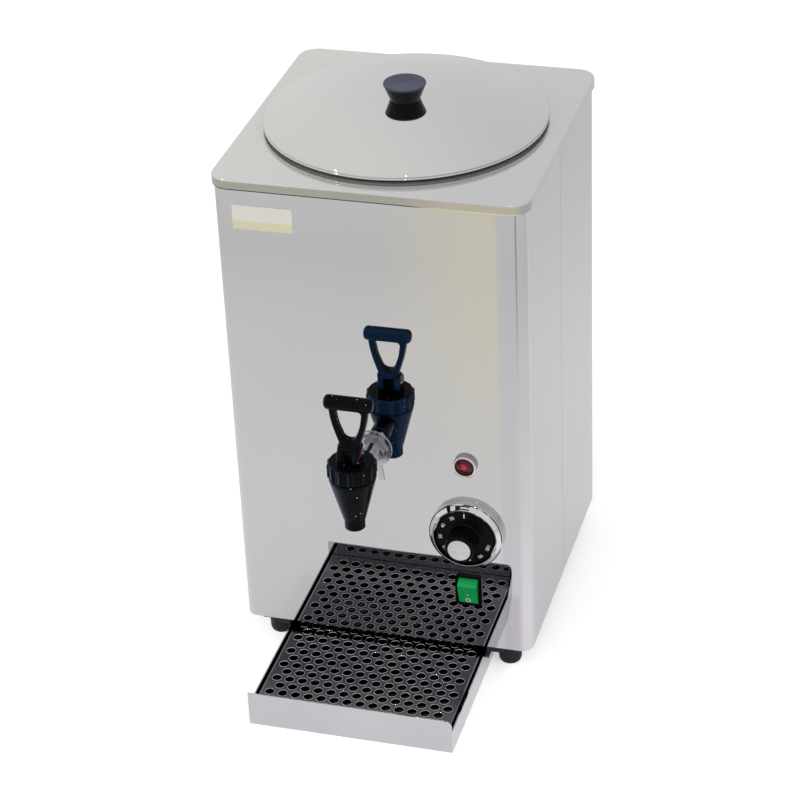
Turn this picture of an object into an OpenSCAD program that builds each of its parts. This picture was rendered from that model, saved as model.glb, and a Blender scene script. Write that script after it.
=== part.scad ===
// Heated milk dispenser: polished stainless casing around a lidded milk vessel, with a
// drip-free tap, a temperature dial, a rocker switch and a pull-out drip tray.
// Millimetres. X runs to the right, Y from the front to the back, Z up from the table.

/* [Casing] */
// Width of the casing, side to side
body_w = 260; // [240:1:320]
// Depth of the casing, front to back
body_d = 258; // [240:1:320]
// Height of the casing from its bottom edge to the top plate's skirt
body_h = 424; // [380:1:520]
// Radius of the casing's upright edges
edge_r = 10; // [4:0.5:14]
// Thickness of the stainless sheet
sheet_t = 1; // [0.8:0.1:1.5]
// Depth of the front shell, from the front face back to the side seams
seam_depth = 126; // [90:1:160]
// Thickness of the floor pan
base_t = 1.2; // [0.8:0.1:2]
// Height of the floor pan's turned-up edge
base_lip = 12; // [8:1:20]

/* [Top plate] */
// How far the top plate stands out past the casing all round
plate_over = 3; // [2:0.5:6]
// Height of the top plate's turned-down skirt
plate_h = 9.6; // [7:0.1:14]
// Thickness of the top plate's sheet
plate_t = 1.2; // [0.8:0.1:2]
// Radius of the top plate's corners
plate_r = 17; // [6:0.5:20]

/* [Milk vessel] */
// Free room between the vessel's wool sleeve and the casing
vessel_room = 4; // [2:0.5:20]
// Thickness of the vessel's wall
vessel_t = 1; // [0.8:0.1:1.5]
// How far the vessel's axis lies behind the middle of the casing's depth
vessel_shift = 4; // [0:0.5:8]
// Sideways place of the vessel's axis, from the middle
vessel_x = -3; // [-6:0.5:6]
// How far the vessel's floor lies below the tap tube's axis
floor_drop = 14; // [13.5:0.5:30]
// Radius of the vessel's rounded floor edge
floor_r = 8; // [4:0.5:9]
// Height of the vessel's mouth above the top plate
neck_h = 8; // [6:0.1:14]
// Radius of the rolled bead round the vessel's mouth
bead_r = 2; // [1.5:0.1:2.5]
// Width of the vessel's flange on the top plate
flange_w = 6; // [4:0.5:8]
// Thickness of the silicone ring under the flange
rim_gasket_t = 1.5; // [1:0.1:3]
// Thickness of the wool sleeve round the vessel
wool_t = 10; // [5:0.5:12]

/* [Lid] */
// How far the lid stands out past the vessel's wall
lid_over = 9.5; // [8:0.5:14]
// Thickness of the lid's sheet
lid_t = 0.8; // [0.6:0.1:1.2]
// Height of the lid's turned-down rim
lid_rim_h = 5.6; // [3.5:0.1:6]
// Rise of the lid's dome above its flat border
dome_rise = 11.4; // [6:0.1:24]
// Width of the lid's border, from the dome's edge out to the rim
border_w = 3.5; // [3.5:0.5:8]
// Diameter of the knob's top
knob_d = 36.2; // [30:0.1:50]
// Diameter of the knob's foot on the lid
knob_foot_d = 25; // [20:0.5:34]
// Height of the knob
knob_h = 14.5; // [12:0.5:30]

/* [Heater] */
// Distance from the vessel's wall in to the edge of the disc heater
heater_in = 40; // [34:1:60]
// Thickness of the disc heater
heater_t = 6; // [4:0.5:10]
// Thickness of the bar that presses the heater up
clamp_t = 2; // [1.5:0.5:4]
// Width of that bar
clamp_w = 22; // [16:1:30]
// Diameter of the thermostat's bulb
bulb_d = 6; // [5:0.5:7]
// Length of the thermostat's bulb
bulb_l = 70; // [50:1:80]

/* [Tap] */
// Sideways place of the tap, from the middle
tap_x = -4.5; // [-20:0.5:10]
// Height of the tap tube's axis above the casing's bottom edge
tap_z = 191; // [185:1:240]
// Distance from the casing's front face out to the tap's axis
tap_out = 57.5; // [52:0.5:75]
// Outer diameter of the tap's tube
shank_d = 13; // [12:0.5:14]
// Bore of the tap's tube
shank_bore = 9; // [7:0.5:9.5]
// Diameter of the tap body below its cap
cone_d = 39.2; // [38:0.1:42]
// Outer diameter of the spout
spout_d = 17.4; // [16:0.1:19]
// Bore of the spout
spout_bore = 12; // [10:0.5:12]
// Distance from the tube's axis down to the spout's tip
spout_drop = 41.2; // [40:0.1:70]
// Height of the tap's ribbed cap
bonnet_h = 14.2; // [13:0.1:20]
// Diameter of the tap's ribbed cap over its ribs
bonnet_d = 42; // [41.6:0.1:48]
// Number of ribs on the cap
rib_count = 14; // [12:1:24]
// Height of the grip's middle above the handle's pin
grip_h = 47.5; // [44:0.5:60]
// Length of the grip
grip_l = 41.6; // [36:0.1:60]
// Thickness of the grip
grip_d = 12.6; // [10:0.1:16]
// How far the handle tips forward, in degrees
pull_deg = 35; // [20:1:40]

/* [Controls] */
// Sideways place of the lamp, dial and switch, from the middle
ctrl_x = 76; // [60:0.5:84]
// Height of the lamp above the casing's bottom edge
lamp_z = 185; // [175:0.5:188]
// Outer diameter of the lamp's barrel
lamp_d = 20.4; // [18:0.1:22]
// How far the lamp's barrel stands out
lamp_out = 4.5; // [4:0.5:12]
// Height of the dial's axis above the casing's bottom edge
dial_z = 117.7; // [112:0.1:130]
// Outer diameter of the bright ring round the dial
bezel_d = 64.5; // [62:0.5:72]
// Diameter of the dial
dial_d = 52; // [46:0.5:54]
// Height of the dial's grip in front of the casing
dial_out = 28; // [20:0.5:32]
// Diameter of the dial's silver cap
cap_d = 19.6; // [16:0.1:22]
// Height of the switch's middle above the casing's bottom edge
switch_z = 58.3; // [46:0.1:64]
// Width of the switch's frame
switch_w = 23.3; // [23:0.1:26]
// Height of the switch's frame
switch_h = 30.5; // [30:0.1:34]
// How far the rocker tips each way from its middle place, in degrees
rock_deg = 15; // [8:1:15]

/* [Drip tray] */
// Length of the drip tray
tray_l = 234; // [200:1:240]
// How far the tray's front stands out from the casing's front face
tray_out = 117; // [60:0.1:140]
// Height of the tray's sides
tray_h = 20.3; // [16:0.1:20.8]
// Height of the tray's front plate
tray_front_h = 32.2; // [24:0.1:34]
// Thickness of the tray's sheet
tray_t = 1; // [0.8:0.1:1.5]
// Radius of the front plate's right-hand corner
tray_corner_r = 6; // [2:0.5:9]
// How far the grille lies below the top of the tray's sides
grille_drop = 0.8; // [0.5:0.1:9]
// Free room between the grille and each of the tray's long sides
grille_room = 3; // [0.5:0.5:5]
// Thickness of the grille's sheet
grille_t = 0.8; // [0.6:0.1:1.2]
// Distance between neighbouring drain holes
hole_pitch = 11.5; // [11:0.5:20]
// Diameter of a drain hole
hole_d = 8.4; // [6:0.1:9]
// Plain margin between the outermost hole centres and the grille's edge
hole_margin = 7; // [6:0.5:14]

/* [Feet and guides] */
// Height of a rubber foot
foot_h = 25; // [23:0.5:32]
// Diameter of a foot at its top
foot_d = 20.4; // [20:0.1:26]
// Diameter of a foot's flat base
foot_base_d = 16; // [14:0.5:19]
// Distance from the casing's front and back to the feet's axes
foot_in = 23; // [14:0.1:30]
// Distance from the casing's side in to a foot's axis
foot_side = 24.5; // [20:0.1:40]
// Free room between a foot and the tray guide beside it
foot_room = 3.8; // [1:0.1:12]
// Thickness of the tray guides' sheet
guide_t = 1.5; // [1:0.1:2]
// How far the tray guides hang down beside the tray
guide_h = 13; // [8:0.5:16]

/* [Hidden] */

// Colours, as seen in studio light
steel = [0.78, 0.78, 0.77];
dark_steel = [0.2, 0.22, 0.26];
chrome = [0.86, 0.87, 0.88];
black = [0.05, 0.05, 0.06];
rubber = [0.07, 0.07, 0.07];
silicone = [0.75, 0.75, 0.72];
brass = [0.8, 0.65, 0.3];

round_fn = 96;
small_fn = 48;
// Small overshoot that lets a cut pass right through what it cuts
cut = 1;
// Gap between pieces that move past each other
move_gap = 0.3;
// Gap between flat pieces of the casing that lie together
seat_gap = 0.1;

// Heights above the casing's bottom edge
stand_h = foot_h + guide_t;
plate_top = body_h + plate_h;
rim_z = plate_top + neck_h;
floor_z = tap_z - floor_drop;
inner_w = body_w - 2 * sheet_t;
inner_d = body_d - 2 * sheet_t;
vessel_back = body_d / 2 + vessel_shift;
vessel_r = min(inner_w - 2 * abs(vessel_x), inner_d - 2 * vessel_shift) / 2 - vessel_room - wool_t;

// Lid: its dome rests on the vessel's bead, its rim hangs outside the vessel's flange
lid_r = vessel_r + lid_over;
dome_r0 = lid_r - border_w;
seat_r = knob_foot_d / 2 + 0.5;
dome_drop = (pow(dome_r0, 2) - pow(seat_r, 2) - pow(dome_rise, 2)) / (2 * dome_rise);
dome_arc_r = sqrt(pow(dome_r0, 2) + pow(dome_drop, 2));
// Height of the dome above the flat border, at a distance from the axis
function dome_z(r) = sqrt(pow(dome_arc_r, 2) - r * r) - dome_drop;
lid_border_z = rim_z + move_gap + lid_t - dome_z(vessel_r);
lid_top_z = lid_border_z + dome_rise;
skirt_r = vessel_r - vessel_t - 2;
skirt_h = 8;
knob_edge = 0.8;
knob_dish = 0.7;
knob_bore = 5;
screw_r = 2.5;

// Heater and sensor under the vessel's floor
heater_r = vessel_r - heater_in;
stud_r = 4;
nut_h = 6;
stud_l = heater_t + clamp_t + nut_h + 3;
post_r = 2.5;
post_h = 9;
post_x = 18;
post_back = heater_r - 22;
bulb_front = heater_r + 12;
bulb_gap = 0.05;
clip_t = 0.8;
clip_w = 12;
clip_foot = 7;
cutout_r = 8;
cutout_h = 9;
clamp_l = 2 * heater_r - 16;
spade_t = 0.8;
spade_w = 6.3;
spade_l = 8;

// Tap, measured from its own axis and from the tube's axis
shank_r = shank_d / 2;
boss_r = shank_r + 2.1;
boss_end = 37;
thread_start = 18;
chamber_r = 13;
seat_z = tap_z - 17;
chamber_z = tap_z - 9;
neck_z = tap_z + 8.8;
bonnet_z = neck_z + 0.5;
bonnet_top = bonnet_z + bonnet_h;
bonnet_roof = 3.4;
bonnet_wall = 2;
rib_r = 2.6;
rib_out = 1.6;
rib_end = 1.5;
neck_r = bonnet_d / 2 - rib_out - bonnet_wall;
neck_l = 10;
rim_band = 2.4;
stem_r = 4.2;
collar_r = 9;
collar_z = tap_z - 2;
collar_t = 2;
pin_up = 7;
pin_z = bonnet_top + pin_up;
pin_r = 2;
pin_fit = 0.05;
cam_off = 6;
foot_cam_r = pin_up - move_gap;
fork_w = 20.4;
waist_w = 18.4;
waist_h = 9.5;
tongue_w = 6.8;
stem_lift = cam_off * sin(pull_deg);
stem_in = 8;
flat_z = bonnet_top - stem_lift - 1.5;
slot_r = stem_r + 1.4;
slot_w = tongue_w + 2 * move_gap;
grip_r = grip_d / 2;
grip_round = 5;
arm_t = 9;
loop_w = grip_l - 8;
hole_top = grip_h - grip_r + 0.8;
hole_low = 14.5;
hole_low_r = 6;
hole_corner_r = 3.5;
arm_w = 6;
washer_r = 17;
washer_t = 1.2;
tab_w = 4.5;
tab_l = 14;
tab_lean = 8;
tab_side = 0.8;
panel_nut_r = 14;
panel_nut_t = 3;
jam_nut_r = 11.5;
jam_nut_t = 3;
outlet_r = 13;
outlet_front = sheet_t + 7;
outlet_back = vessel_back - vessel_r + 6;
shank_gasket_t = 2;
inner_nut_t = 6;
inner_nut_r = 10.5;
shank_tail = outlet_back + shank_gasket_t + inner_nut_t + 2;

// Switch
frame_t = 2;
housing_w = switch_w - 1.5;
housing_h = switch_h - 2.2;
housing_l = 24;
rocker_w = switch_w - 6.6;
pivot_in = 2;
rocker_r = housing_h / 2 - 1.37;
flush = 0.9;
flush_rise = frame_t + flush + pivot_in;
rocker_lean = asin(flush_rise / rocker_r) + rock_deg;
rocker_face = rocker_r * sin(rocker_lean) - pivot_in;
pivot_pin_r = 1.5;
tab_in = 5.5;
tab_up = 8;
pin_end = 1.2;

// Dial
spindle_r = 3;
flute_count = 12;
flute_r = 2;
flute_in = 1;
dial_hub_r = 13.4;
dial_nose_r = 12.8;
dial_skirt_in = 2;
dial_skirt_out = 9.6;
cap_t = 1.6;
bezel_out = 10.6;
bezel_wall = 5.6;
bezel_bore_r = dial_d / 2 + 1;
stat_w = 42;
stat_l = 28;
stat_h = 38;

// Lamp
lens_r = lamp_d / 2 - 2.1;
lamp_neck_r = 6;
lamp_l = 26;

// Terminal block and cable gland, one behind the other near the left side
gland_side = 60;
gland_x = gland_side - body_w / 2;
gland_z = 34;
block_x = gland_x;
block_back = 68;
block_l = 60;
block_w = 20;
block_h = 17;
pole_step = 14;
gland_bore_r = 3.6;
gland_r = 7.8;
gland_cap_r = 10;
gland_hex_r = 11.8;
gland_hex_t = 5;
gland_out = 22;
gland_nut_t = 5;

// Feet, beside the tray guides
foot_x = body_w / 2 - foot_side;
guide_x = foot_x - foot_d / 2 - foot_room - guide_t;
tray_gap = 0.4;
tray_w = 2 * (guide_x - tray_gap);
foot_back = body_d - foot_in;
foot_places = [[-foot_x, foot_in], [foot_x, foot_in], [-foot_x, foot_back], [foot_x, foot_back]];
foot_recess = 8;
head_r = 4.5;
head_t = 3;
guide_tab = 5.5;
guide_side = 1;
foot_nut_r = 4.6;
foot_nut_t = 4;

// Tray, on its guides just clear of the table
tray_rise = 0.3;
tray_z = tray_rise - stand_h;
grille_z = tray_z + tray_h - grille_drop;
grille_gap = 0.6;
grille_w = tray_w - 2 * tray_t - 2 * grille_room;
grille_l = tray_l - 2 * tray_t - 2 * grille_gap;
row_step = hole_pitch * sqrt(3) / 2;

// The casing's front face, set so that the whole object is centred front to back
panel_y = (tray_out - body_d - gland_out) / 2;

// Shared shapes
module in_place() translate([0, panel_y, stand_h]) children();

module rounded(w, d, r) {
    translate([-w / 2 + r, 0]) square([w - 2 * r, d]);
    translate([-w / 2, r]) square([w, d - 2 * r]);
    for (x = [-w / 2 + r, w / 2 - r], y = [r, d - r]) translate([x, y]) circle(r, $fn = small_fn);
}

// Turns a shape so that its +Z points out of the front face, at a height above the bottom edge
module on_front(x, z) translate([x, 0, z]) rotate([90, 0, 0]) children();

module on_back(x, z) translate([x, body_d, z]) rotate([-90, 0, 0]) children();

module rod(r, h) cylinder(r = r, h = h, $fn = small_fn);

module disc(r, h) cylinder(r = r, h = h, $fn = round_fn);

module rod_y(r, from, to) translate([0, from, 0]) rotate([-90, 0, 0]) rod(r, to - from);

module rod_x(r, l) translate([-l / 2, 0, 0]) rotate([0, 90, 0]) rod(r, l);

module turned(points) rotate_extrude($fn = round_fn) polygon(points);

module bore(r, h) translate([0, 0, -cut]) disc(r, h + 2 * cut);

module ring(r_out, r_in, h) difference() {
    disc(r_out, h);
    bore(r_in, h);
}

module hex(r, h) cylinder(r = r, h = h, $fn = 6);

module at_vessel() translate([vessel_x, vessel_back, 0]) children();

module at_tap() translate([tap_x, -tap_out, 0]) children();

// Points along an arc, from angle a to angle b in n steps
function arc(x, y, r, a, b, n) = [for (i = [0:n])
    let (t = a + (b - a) * i / n) [x + r * cos(t), y + r * sin(t)]];

// A tube swept along a smooth curve through hand-placed points
function unit(v) = v / norm(v);
function blend(a, b, c, d, t) = (2 * b + (c - a) * t + (2 * a - 5 * b + 4 * c - d) * t * t
    + (3 * b - a - 3 * c + d) * t * t * t) / 2;
function curve(p, n) = let (e = len(p) - 1) concat([for (i = [0:e - 1], j = [0:n - 1])
    blend(p[max(i - 1, 0)], p[i], p[i + 1], p[min(i + 2, e)], j / n)], [p[e]]);
function heading(p, i) = let (e = len(p) - 1) unit(p[min(i + 1, e)] - p[max(i - 1, 0)]);
function square_to(n, t) = unit(n - (n * t) * t);
function first_side(t) = square_to(abs(t[2]) < 0.8 ? [0, 0, 1] : [1, 0, 0], t);
function side_dirs(p) = [for (i = 0, n = first_side(heading(p, 0)); i < len(p);
    i = i + 1, n = square_to(n, heading(p, min(i, len(p) - 1)))) n];

module swept_tube(points, r, steps = 4, sides = 8) {
    path = curve(points, steps);
    dirs = side_dirs(path);
    last = len(path) - 1;
    ring_points = [for (i = [0:last], k = [0:sides - 1]) let (t = heading(path, i), a = 360 * k / sides)
        path[i] + r * (cos(a) * dirs[i] + sin(a) * cross(t, dirs[i]))];
    walls = [for (i = [0:last - 1], k = [0:sides - 1], h = [0, 1])
        let (a = i * sides + k, b = i * sides + (k + 1) % sides)
        h == 0 ? [a, b + sides, b] : [a, a + sides, b + sides]];
    first_cap = [for (k = [1:sides - 2]) [0, k, k + 1]];
    last_cap = [for (k = [1:sides - 2]) [last * sides, last * sides + k + 1, last * sides + k]];
    polyhedron(ring_points, concat(walls, first_cap, last_cap));
}

// Casing: two U-shaped shells that meet at an upright seam on each side
casing_h = body_h + plate_h - plate_t;
casing_screw_r = 2;
casing_screw_l = 7;
casing_screw_count = 4;
screw_side = 31;
casing_screw_z = base_t + base_lip / 2;
casing_screw_step = (body_w - 2 * screw_side) / (casing_screw_count - 1);
casing_screw_x = [for (i = [0:casing_screw_count - 1]) screw_side - body_w / 2 + i * casing_screw_step];

module casing_tube() linear_extrude(casing_h) difference() {
    rounded(body_w, body_d, edge_r);
    translate([0, sheet_t]) rounded(inner_w, inner_d, edge_r - sheet_t);
}

module casing_front() color(steel) difference() {
    intersection() {
        casing_tube();
        translate([-body_w, -cut, -cut]) cube([2 * body_w, seam_depth + cut, casing_h + 2 * cut]);
    }
    translate([tap_x, 0, tap_z]) rod_y(shank_r + move_gap, -cut, sheet_t + cut);
    translate([ctrl_x, 0, lamp_z]) rod_y(lamp_neck_r + seat_gap, -cut, sheet_t + cut);
    translate([ctrl_x, 0, dial_z]) rod_y(spindle_r + 2, -cut, sheet_t + cut);
    translate([ctrl_x - housing_w / 2 - seat_gap, -cut, switch_z - housing_h / 2 - seat_gap])
        cube([housing_w + 2 * seat_gap, sheet_t + 2 * cut, housing_h + 2 * seat_gap]);
}

module casing_rear() color(steel) difference() {
    intersection() {
        casing_tube();
        translate([-body_w, seam_depth, -cut]) cube([2 * body_w, body_d, casing_h + 2 * cut]);
    }
    translate([gland_x, 0, gland_z]) rod_y(gland_r, body_d - sheet_t - cut, body_d + cut);
    for (x = casing_screw_x) translate([x, 0, casing_screw_z])
        rod_y(casing_screw_r, body_d - sheet_t - cut, body_d + cut);
}

// Flat strips behind the seams, which both shells are welded to
strip_w = 20;
strip_low = base_t + base_lip + 4;
strip_high = body_h - 8;

module seam_strips() color(steel) for (x = [-inner_w / 2, inner_w / 2 - sheet_t])
    translate([x, seam_depth - strip_w / 2, strip_low]) cube([sheet_t, strip_w, strip_high - strip_low]);

// Floor pan inside the casing, with a turned-up edge
pan_w = inner_w - 2 * seat_gap;
pan_d = inner_d - 2 * seat_gap;
pan_r = edge_r - sheet_t - seat_gap;

module base_plate() color(dark_steel) difference() {
    translate([0, sheet_t + seat_gap, 0]) difference() {
        linear_extrude(base_t + base_lip) rounded(pan_w, pan_d, pan_r);
        translate([0, base_t, base_t]) linear_extrude(base_lip + cut)
            rounded(pan_w - 2 * base_t, pan_d - 2 * base_t, pan_r - base_t);
    }
    for (p = foot_places) translate([p[0], p[1], -cut]) rod(screw_r, base_t + 2 * cut);
    for (x = casing_screw_x) translate([x, 0, casing_screw_z])
        rod_y(casing_screw_r, body_d - sheet_t - base_t - cut, body_d);
}

module casing_screws() color(chrome) for (x = casing_screw_x) on_back(x, casing_screw_z) {
    translate([0, 0, -casing_screw_l]) rod(casing_screw_r, casing_screw_l + casing_screw_r);
    rod(1.8 * casing_screw_r, casing_screw_r);
}

// Top plate: a pan turned over, with the opening that the vessel hangs in
plate_w = body_w + 2 * plate_over;
plate_d = body_d + 2 * plate_over;
// The plate's corners are only as round as leaves them clear of the casing's corners
plate_corner = min(plate_r, edge_r + plate_t + (plate_over - plate_t - seat_gap) / (1 - sqrt(0.5)));

module top_plate() color(steel) translate([0, 0, body_h]) difference() {
    translate([0, -plate_over]) linear_extrude(plate_h) rounded(plate_w, plate_d, plate_corner);
    translate([0, plate_t - plate_over, -cut]) linear_extrude(plate_h - plate_t + cut)
        rounded(plate_w - 2 * plate_t, plate_d - 2 * plate_t, plate_corner - plate_t);
    at_vessel() disc(vessel_r + 1, plate_h + cut);
}

// Small angles that tie the top plate to the casing near its corners
bracket_w = 14;
bracket_l = 18;
bracket_y = [sheet_t + edge_r, body_d - sheet_t - edge_r - bracket_l];

module top_bracket() translate([inner_w / 2 - bracket_w, 0, casing_h - bracket_w]) {
    translate([0, 0, bracket_w - sheet_t]) cube([bracket_w, bracket_l, sheet_t]);
    translate([bracket_w - sheet_t, 0, 0]) cube([sheet_t, bracket_l, bracket_w]);
}

module top_brackets() color(steel) for (y = bracket_y, side = [0, 1])
    translate([0, y, 0]) mirror([side, 0, 0]) top_bracket();

// Small label at the upper left of the front, without print
label_w = 51;
label_h = 21.5;
label_t = 0.3;
label_side = 16.5;
label_top = 14.2;

module blank_label() color([0.87, 0.86, 0.76])
    translate([label_side - body_w / 2, -label_t, body_h - label_top - label_h])
        cube([label_w, label_t, label_h]);

// Milk vessel: drawn pot with a flange on the top plate, a rolled bead, the outlet boss and
// the stud that carries the heater
module pot(r, z, corner) rotate_extrude($fn = round_fn) {
    translate([0, z + corner]) square([r, rim_z - z - corner]);
    translate([0, z]) square([r - corner, corner + cut]);
    intersection() {
        translate([r - corner, z + corner]) circle(corner, $fn = small_fn);
        translate([0, z]) square([r, corner + cut]);
    }
}

module vessel_skin() at_vessel() difference() {
    union() {
        pot(vessel_r, floor_z, floor_r);
        translate([0, 0, plate_top + rim_gasket_t]) disc(vessel_r + flange_w, vessel_t);
        rotate_extrude($fn = round_fn) translate([vessel_r, rim_z - bead_r]) circle(bead_r, $fn = small_fn);
    }
    translate([0, 0, vessel_t]) pot(vessel_r - vessel_t, floor_z, floor_r - vessel_t);
    translate([0, 0, rim_z - 2 * bead_r]) disc(vessel_r - vessel_t, 3 * bead_r);
}

module milk_vessel() color(steel) difference() {
    union() {
        vessel_skin();
        translate([tap_x, 0, tap_z]) rod_y(outlet_r, outlet_front, outlet_back);
        at_vessel() translate([0, 0, floor_z - stud_l]) rod(stud_r, stud_l + vessel_t / 2);
    }
    translate([tap_x, 0, tap_z]) rod_y(shank_r + seat_gap, outlet_front - cut, outlet_back + cut);
}

module rim_gasket() color(black) at_vessel() translate([0, 0, plate_top])
    ring(vessel_r + flange_w + 0.5, vessel_r + seat_gap, rim_gasket_t);

wool_low = tap_z + outlet_r + 2;
wool_high = casing_h - 4;

module insulation_sleeve() color([0.85, 0.8, 0.6]) at_vessel() translate([0, 0, wool_low])
    ring(vessel_r + wool_t, vessel_r + seat_gap, wool_high - wool_low);

// Disc heater, the bar that presses it up, its nut, and the two sensors
heater_z = floor_z - heater_t;
clamp_z = heater_z - clamp_t;

module stud_hole(h) translate([0, 0, -cut]) rod(stud_r + move_gap, h + 2 * cut);

module heater_plate() color([0.55, 0.5, 0.42]) at_vessel() translate([0, 0, heater_z]) {
    difference() {
        disc(heater_r, heater_t);
        stud_hole(heater_t);
    }
    for (x = [-post_x, post_x]) translate([x, post_back, -post_h]) rod(post_r, post_h + cut);
}

module heater_clamp() color(steel) at_vessel() translate([0, 0, clamp_z]) difference() {
    translate([-clamp_l / 2, -clamp_w / 2, 0]) cube([clamp_l, clamp_w, clamp_t]);
    stud_hole(clamp_t);
}

module heater_nut() color(chrome) at_vessel() translate([0, 0, clamp_z - nut_h]) difference() {
    hex(2 * stud_r, nut_h);
    translate([0, 0, -cut]) rod(stud_r, nut_h + 2 * cut);
}

module thermal_cutout() color([0.85, 0.85, 0.82]) at_vessel() translate([0, bulb_front, floor_z - cutout_h]) {
    rod(cutout_r, cutout_h);
    for (side = [-1, 1]) translate([side * cutout_r / 2 - spade_t / 2, -spade_w / 2, -spade_l])
        cube([spade_t, spade_w, spade_l + cut]);
}

// Lid: domed sheet with a turned-down rim and a locating skirt inside
dome_steps = 14;
rim_round = 3;

function dome_curve(from, to, n) = [for (i = [0:n]) let (r = from + (to - from) * i / n) [r, dome_z(r)]];

module lid() color(steel) at_vessel() translate([0, 0, lid_border_z]) difference() {
    turned(concat([[0, dome_rise]], dome_curve(seat_r, dome_r0, dome_steps),
        arc(lid_r - rim_round, -rim_round, rim_round, 90, 0, 8),
        [[lid_r, -lid_rim_h], [lid_r - lid_t, -lid_rim_h]],
        arc(lid_r - rim_round, -rim_round, rim_round - lid_t, 0, 90, 8),
        [for (p = dome_curve(dome_r0, skirt_r, 3)) [p[0], p[1] - lid_t]],
        [[skirt_r, -skirt_h], [skirt_r - lid_t, -skirt_h]],
        [for (p = dome_curve(skirt_r - lid_t, seat_r, dome_steps)) [p[0], p[1] - lid_t]],
        [[0, dome_rise - lid_t]]));
    translate([0, 0, dome_rise]) rod_through(screw_r + seat_gap);
}

module rod_through(r) translate([0, 0, -5 * r]) rod(r, 10 * r);

module lid_knob() color(black) at_vessel() translate([0, 0, lid_top_z]) turned([
    [screw_r, 0], [knob_foot_d / 2, 0], [knob_d / 2, knob_h - knob_edge],
    [knob_d / 2 - knob_edge / 2, knob_h], [knob_d / 2 - 2 * knob_edge, knob_h],
    [0, knob_h - knob_dish], [0, knob_h - knob_bore], [screw_r, knob_h - knob_bore]]);

lid_washer_t = 1;
lid_head_t = 3;

lid_screw_l = lid_washer_t + lid_t + knob_h - knob_bore - 0.5;

module lid_knob_screw() color(chrome) at_vessel() translate([0, 0, lid_top_z - lid_t - lid_washer_t]) {
    ring(2.8 * screw_r, screw_r, lid_washer_t);
    translate([0, 0, -lid_head_t]) rod(1.8 * screw_r, lid_head_t);
    translate([0, 0, -lid_head_t / 2]) rod(screw_r, lid_head_t / 2 + lid_screw_l);
}

// Tap: the tube from the vessel and what clamps it
module at_shank() translate([tap_x, 0, tap_z]) children();

module tap_shank() color(chrome) at_shank() difference() {
    rod_y(shank_r, thread_start - tap_out, shank_tail);
    rod_y(shank_bore / 2, thread_start - tap_out - cut, shank_tail + cut);
}

module shank_collar(r, from, to) at_shank() difference() {
    rod_y(r, from, to);
    rod_y(shank_r, from - cut, to + cut);
}

module shank_hex(r, from, to) at_shank() difference() {
    translate([0, from, 0]) rotate([-90, 0, 0]) hex(r, to - from);
    rod_y(shank_r, from - cut, to + cut);
}

inner_nut_front = outlet_back + shank_gasket_t;
panel_nut_front = -washer_t - panel_nut_t;

module shank_gasket() color(silicone) shank_collar(inner_nut_r, outlet_back, inner_nut_front);

module shank_inner_nut() color(chrome) shank_hex(inner_nut_r, inner_nut_front, inner_nut_front + inner_nut_t);

module panel_spacer() color(silicone) shank_collar(outlet_r, sheet_t, outlet_front);

module tab_washer() color(chrome) at_shank() difference() {
    union() {
        rod_y(washer_r, -washer_t, 0);
        rotate([0, -tab_lean, 0]) translate([tab_side, -washer_t, -washer_r - tab_l])
            cube([tab_w, washer_t, tab_l + tab_w]);
    }
    rod_y(shank_r, -washer_t - cut, cut);
}

module panel_nut() color(chrome) shank_hex(panel_nut_r, panel_nut_front, -washer_t);

module tap_jam_nut() color(chrome) shank_hex(jam_nut_r, panel_nut_front - jam_nut_t, panel_nut_front);

// Tap body: cone over a short spout, with an inlet boss at the back
spout_z = tap_z - spout_drop;
cone_low = tap_z - 31.4;
spout_edge = 0.6;

module tap_body() color(black) at_tap() difference() {
    union() {
        turned([[0, spout_z], [spout_d / 2 - spout_edge, spout_z], [spout_d / 2, spout_z + spout_edge],
            [spout_d / 2, cone_low], [spout_d / 2 + 1, cone_low + 0.4], [cone_d / 2, neck_z - rim_band],
            [cone_d / 2, neck_z], [neck_r, neck_z], [neck_r, neck_z + neck_l], [0, neck_z + neck_l]]);
        translate([0, 0, tap_z]) rod_y(boss_r, 0, boss_end);
    }
    turned([[0, spout_z - cut], [spout_bore / 2, spout_z - cut], [spout_bore / 2, seat_z],
        [chamber_r, chamber_z], [chamber_r, neck_z + neck_l + cut], [0, neck_z + neck_l + cut]]);
    translate([0, 0, tap_z]) rod_y(shank_bore / 2, 0, boss_end);
    translate([0, 0, tap_z]) rod_y(shank_r, thread_start, boss_end + cut);
}

module tap_bonnet() color(black) at_tap() translate([0, 0, bonnet_z]) difference() {
    union() {
        disc(bonnet_d / 2 - rib_out, bonnet_h);
        for (i = [0:rib_count - 1]) rotate([0, 0, 360 * i / rib_count])
            translate([bonnet_d / 2 - rib_r, 0, rib_end])
                cylinder(r = rib_r, h = bonnet_h - 2 * rib_end, $fn = 24);
    }
    bore(neck_r + seat_gap, bonnet_h - bonnet_roof - cut);
    translate([0, 0, -cut]) rod(stem_r + move_gap, bonnet_h + 2 * cut);
}

// Stem: a rod with a spring collar, flattened at the top into a tongue with an eye
module tap_stem() color(steel) at_tap() difference() {
    union() {
        translate([0, 0, collar_z - stem_in]) rod(stem_r, flat_z - collar_z + stem_in);
        translate([0, 0, collar_z]) rod(collar_r, collar_t);
        intersection() {
            translate([0, 0, flat_z - cut]) rod(stem_r, pin_z + stem_r - flat_z + cut);
            union() {
                translate([-tongue_w / 2, -stem_r, flat_z - cut])
                    cube([tongue_w, 2 * stem_r, pin_z - flat_z + cut]);
                translate([0, 0, pin_z]) rod_x(stem_r, tongue_w);
            }
        }
    }
    translate([0, 0, pin_z]) rod_x(pin_r + pin_fit, 2 * tongue_w);
}

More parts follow.
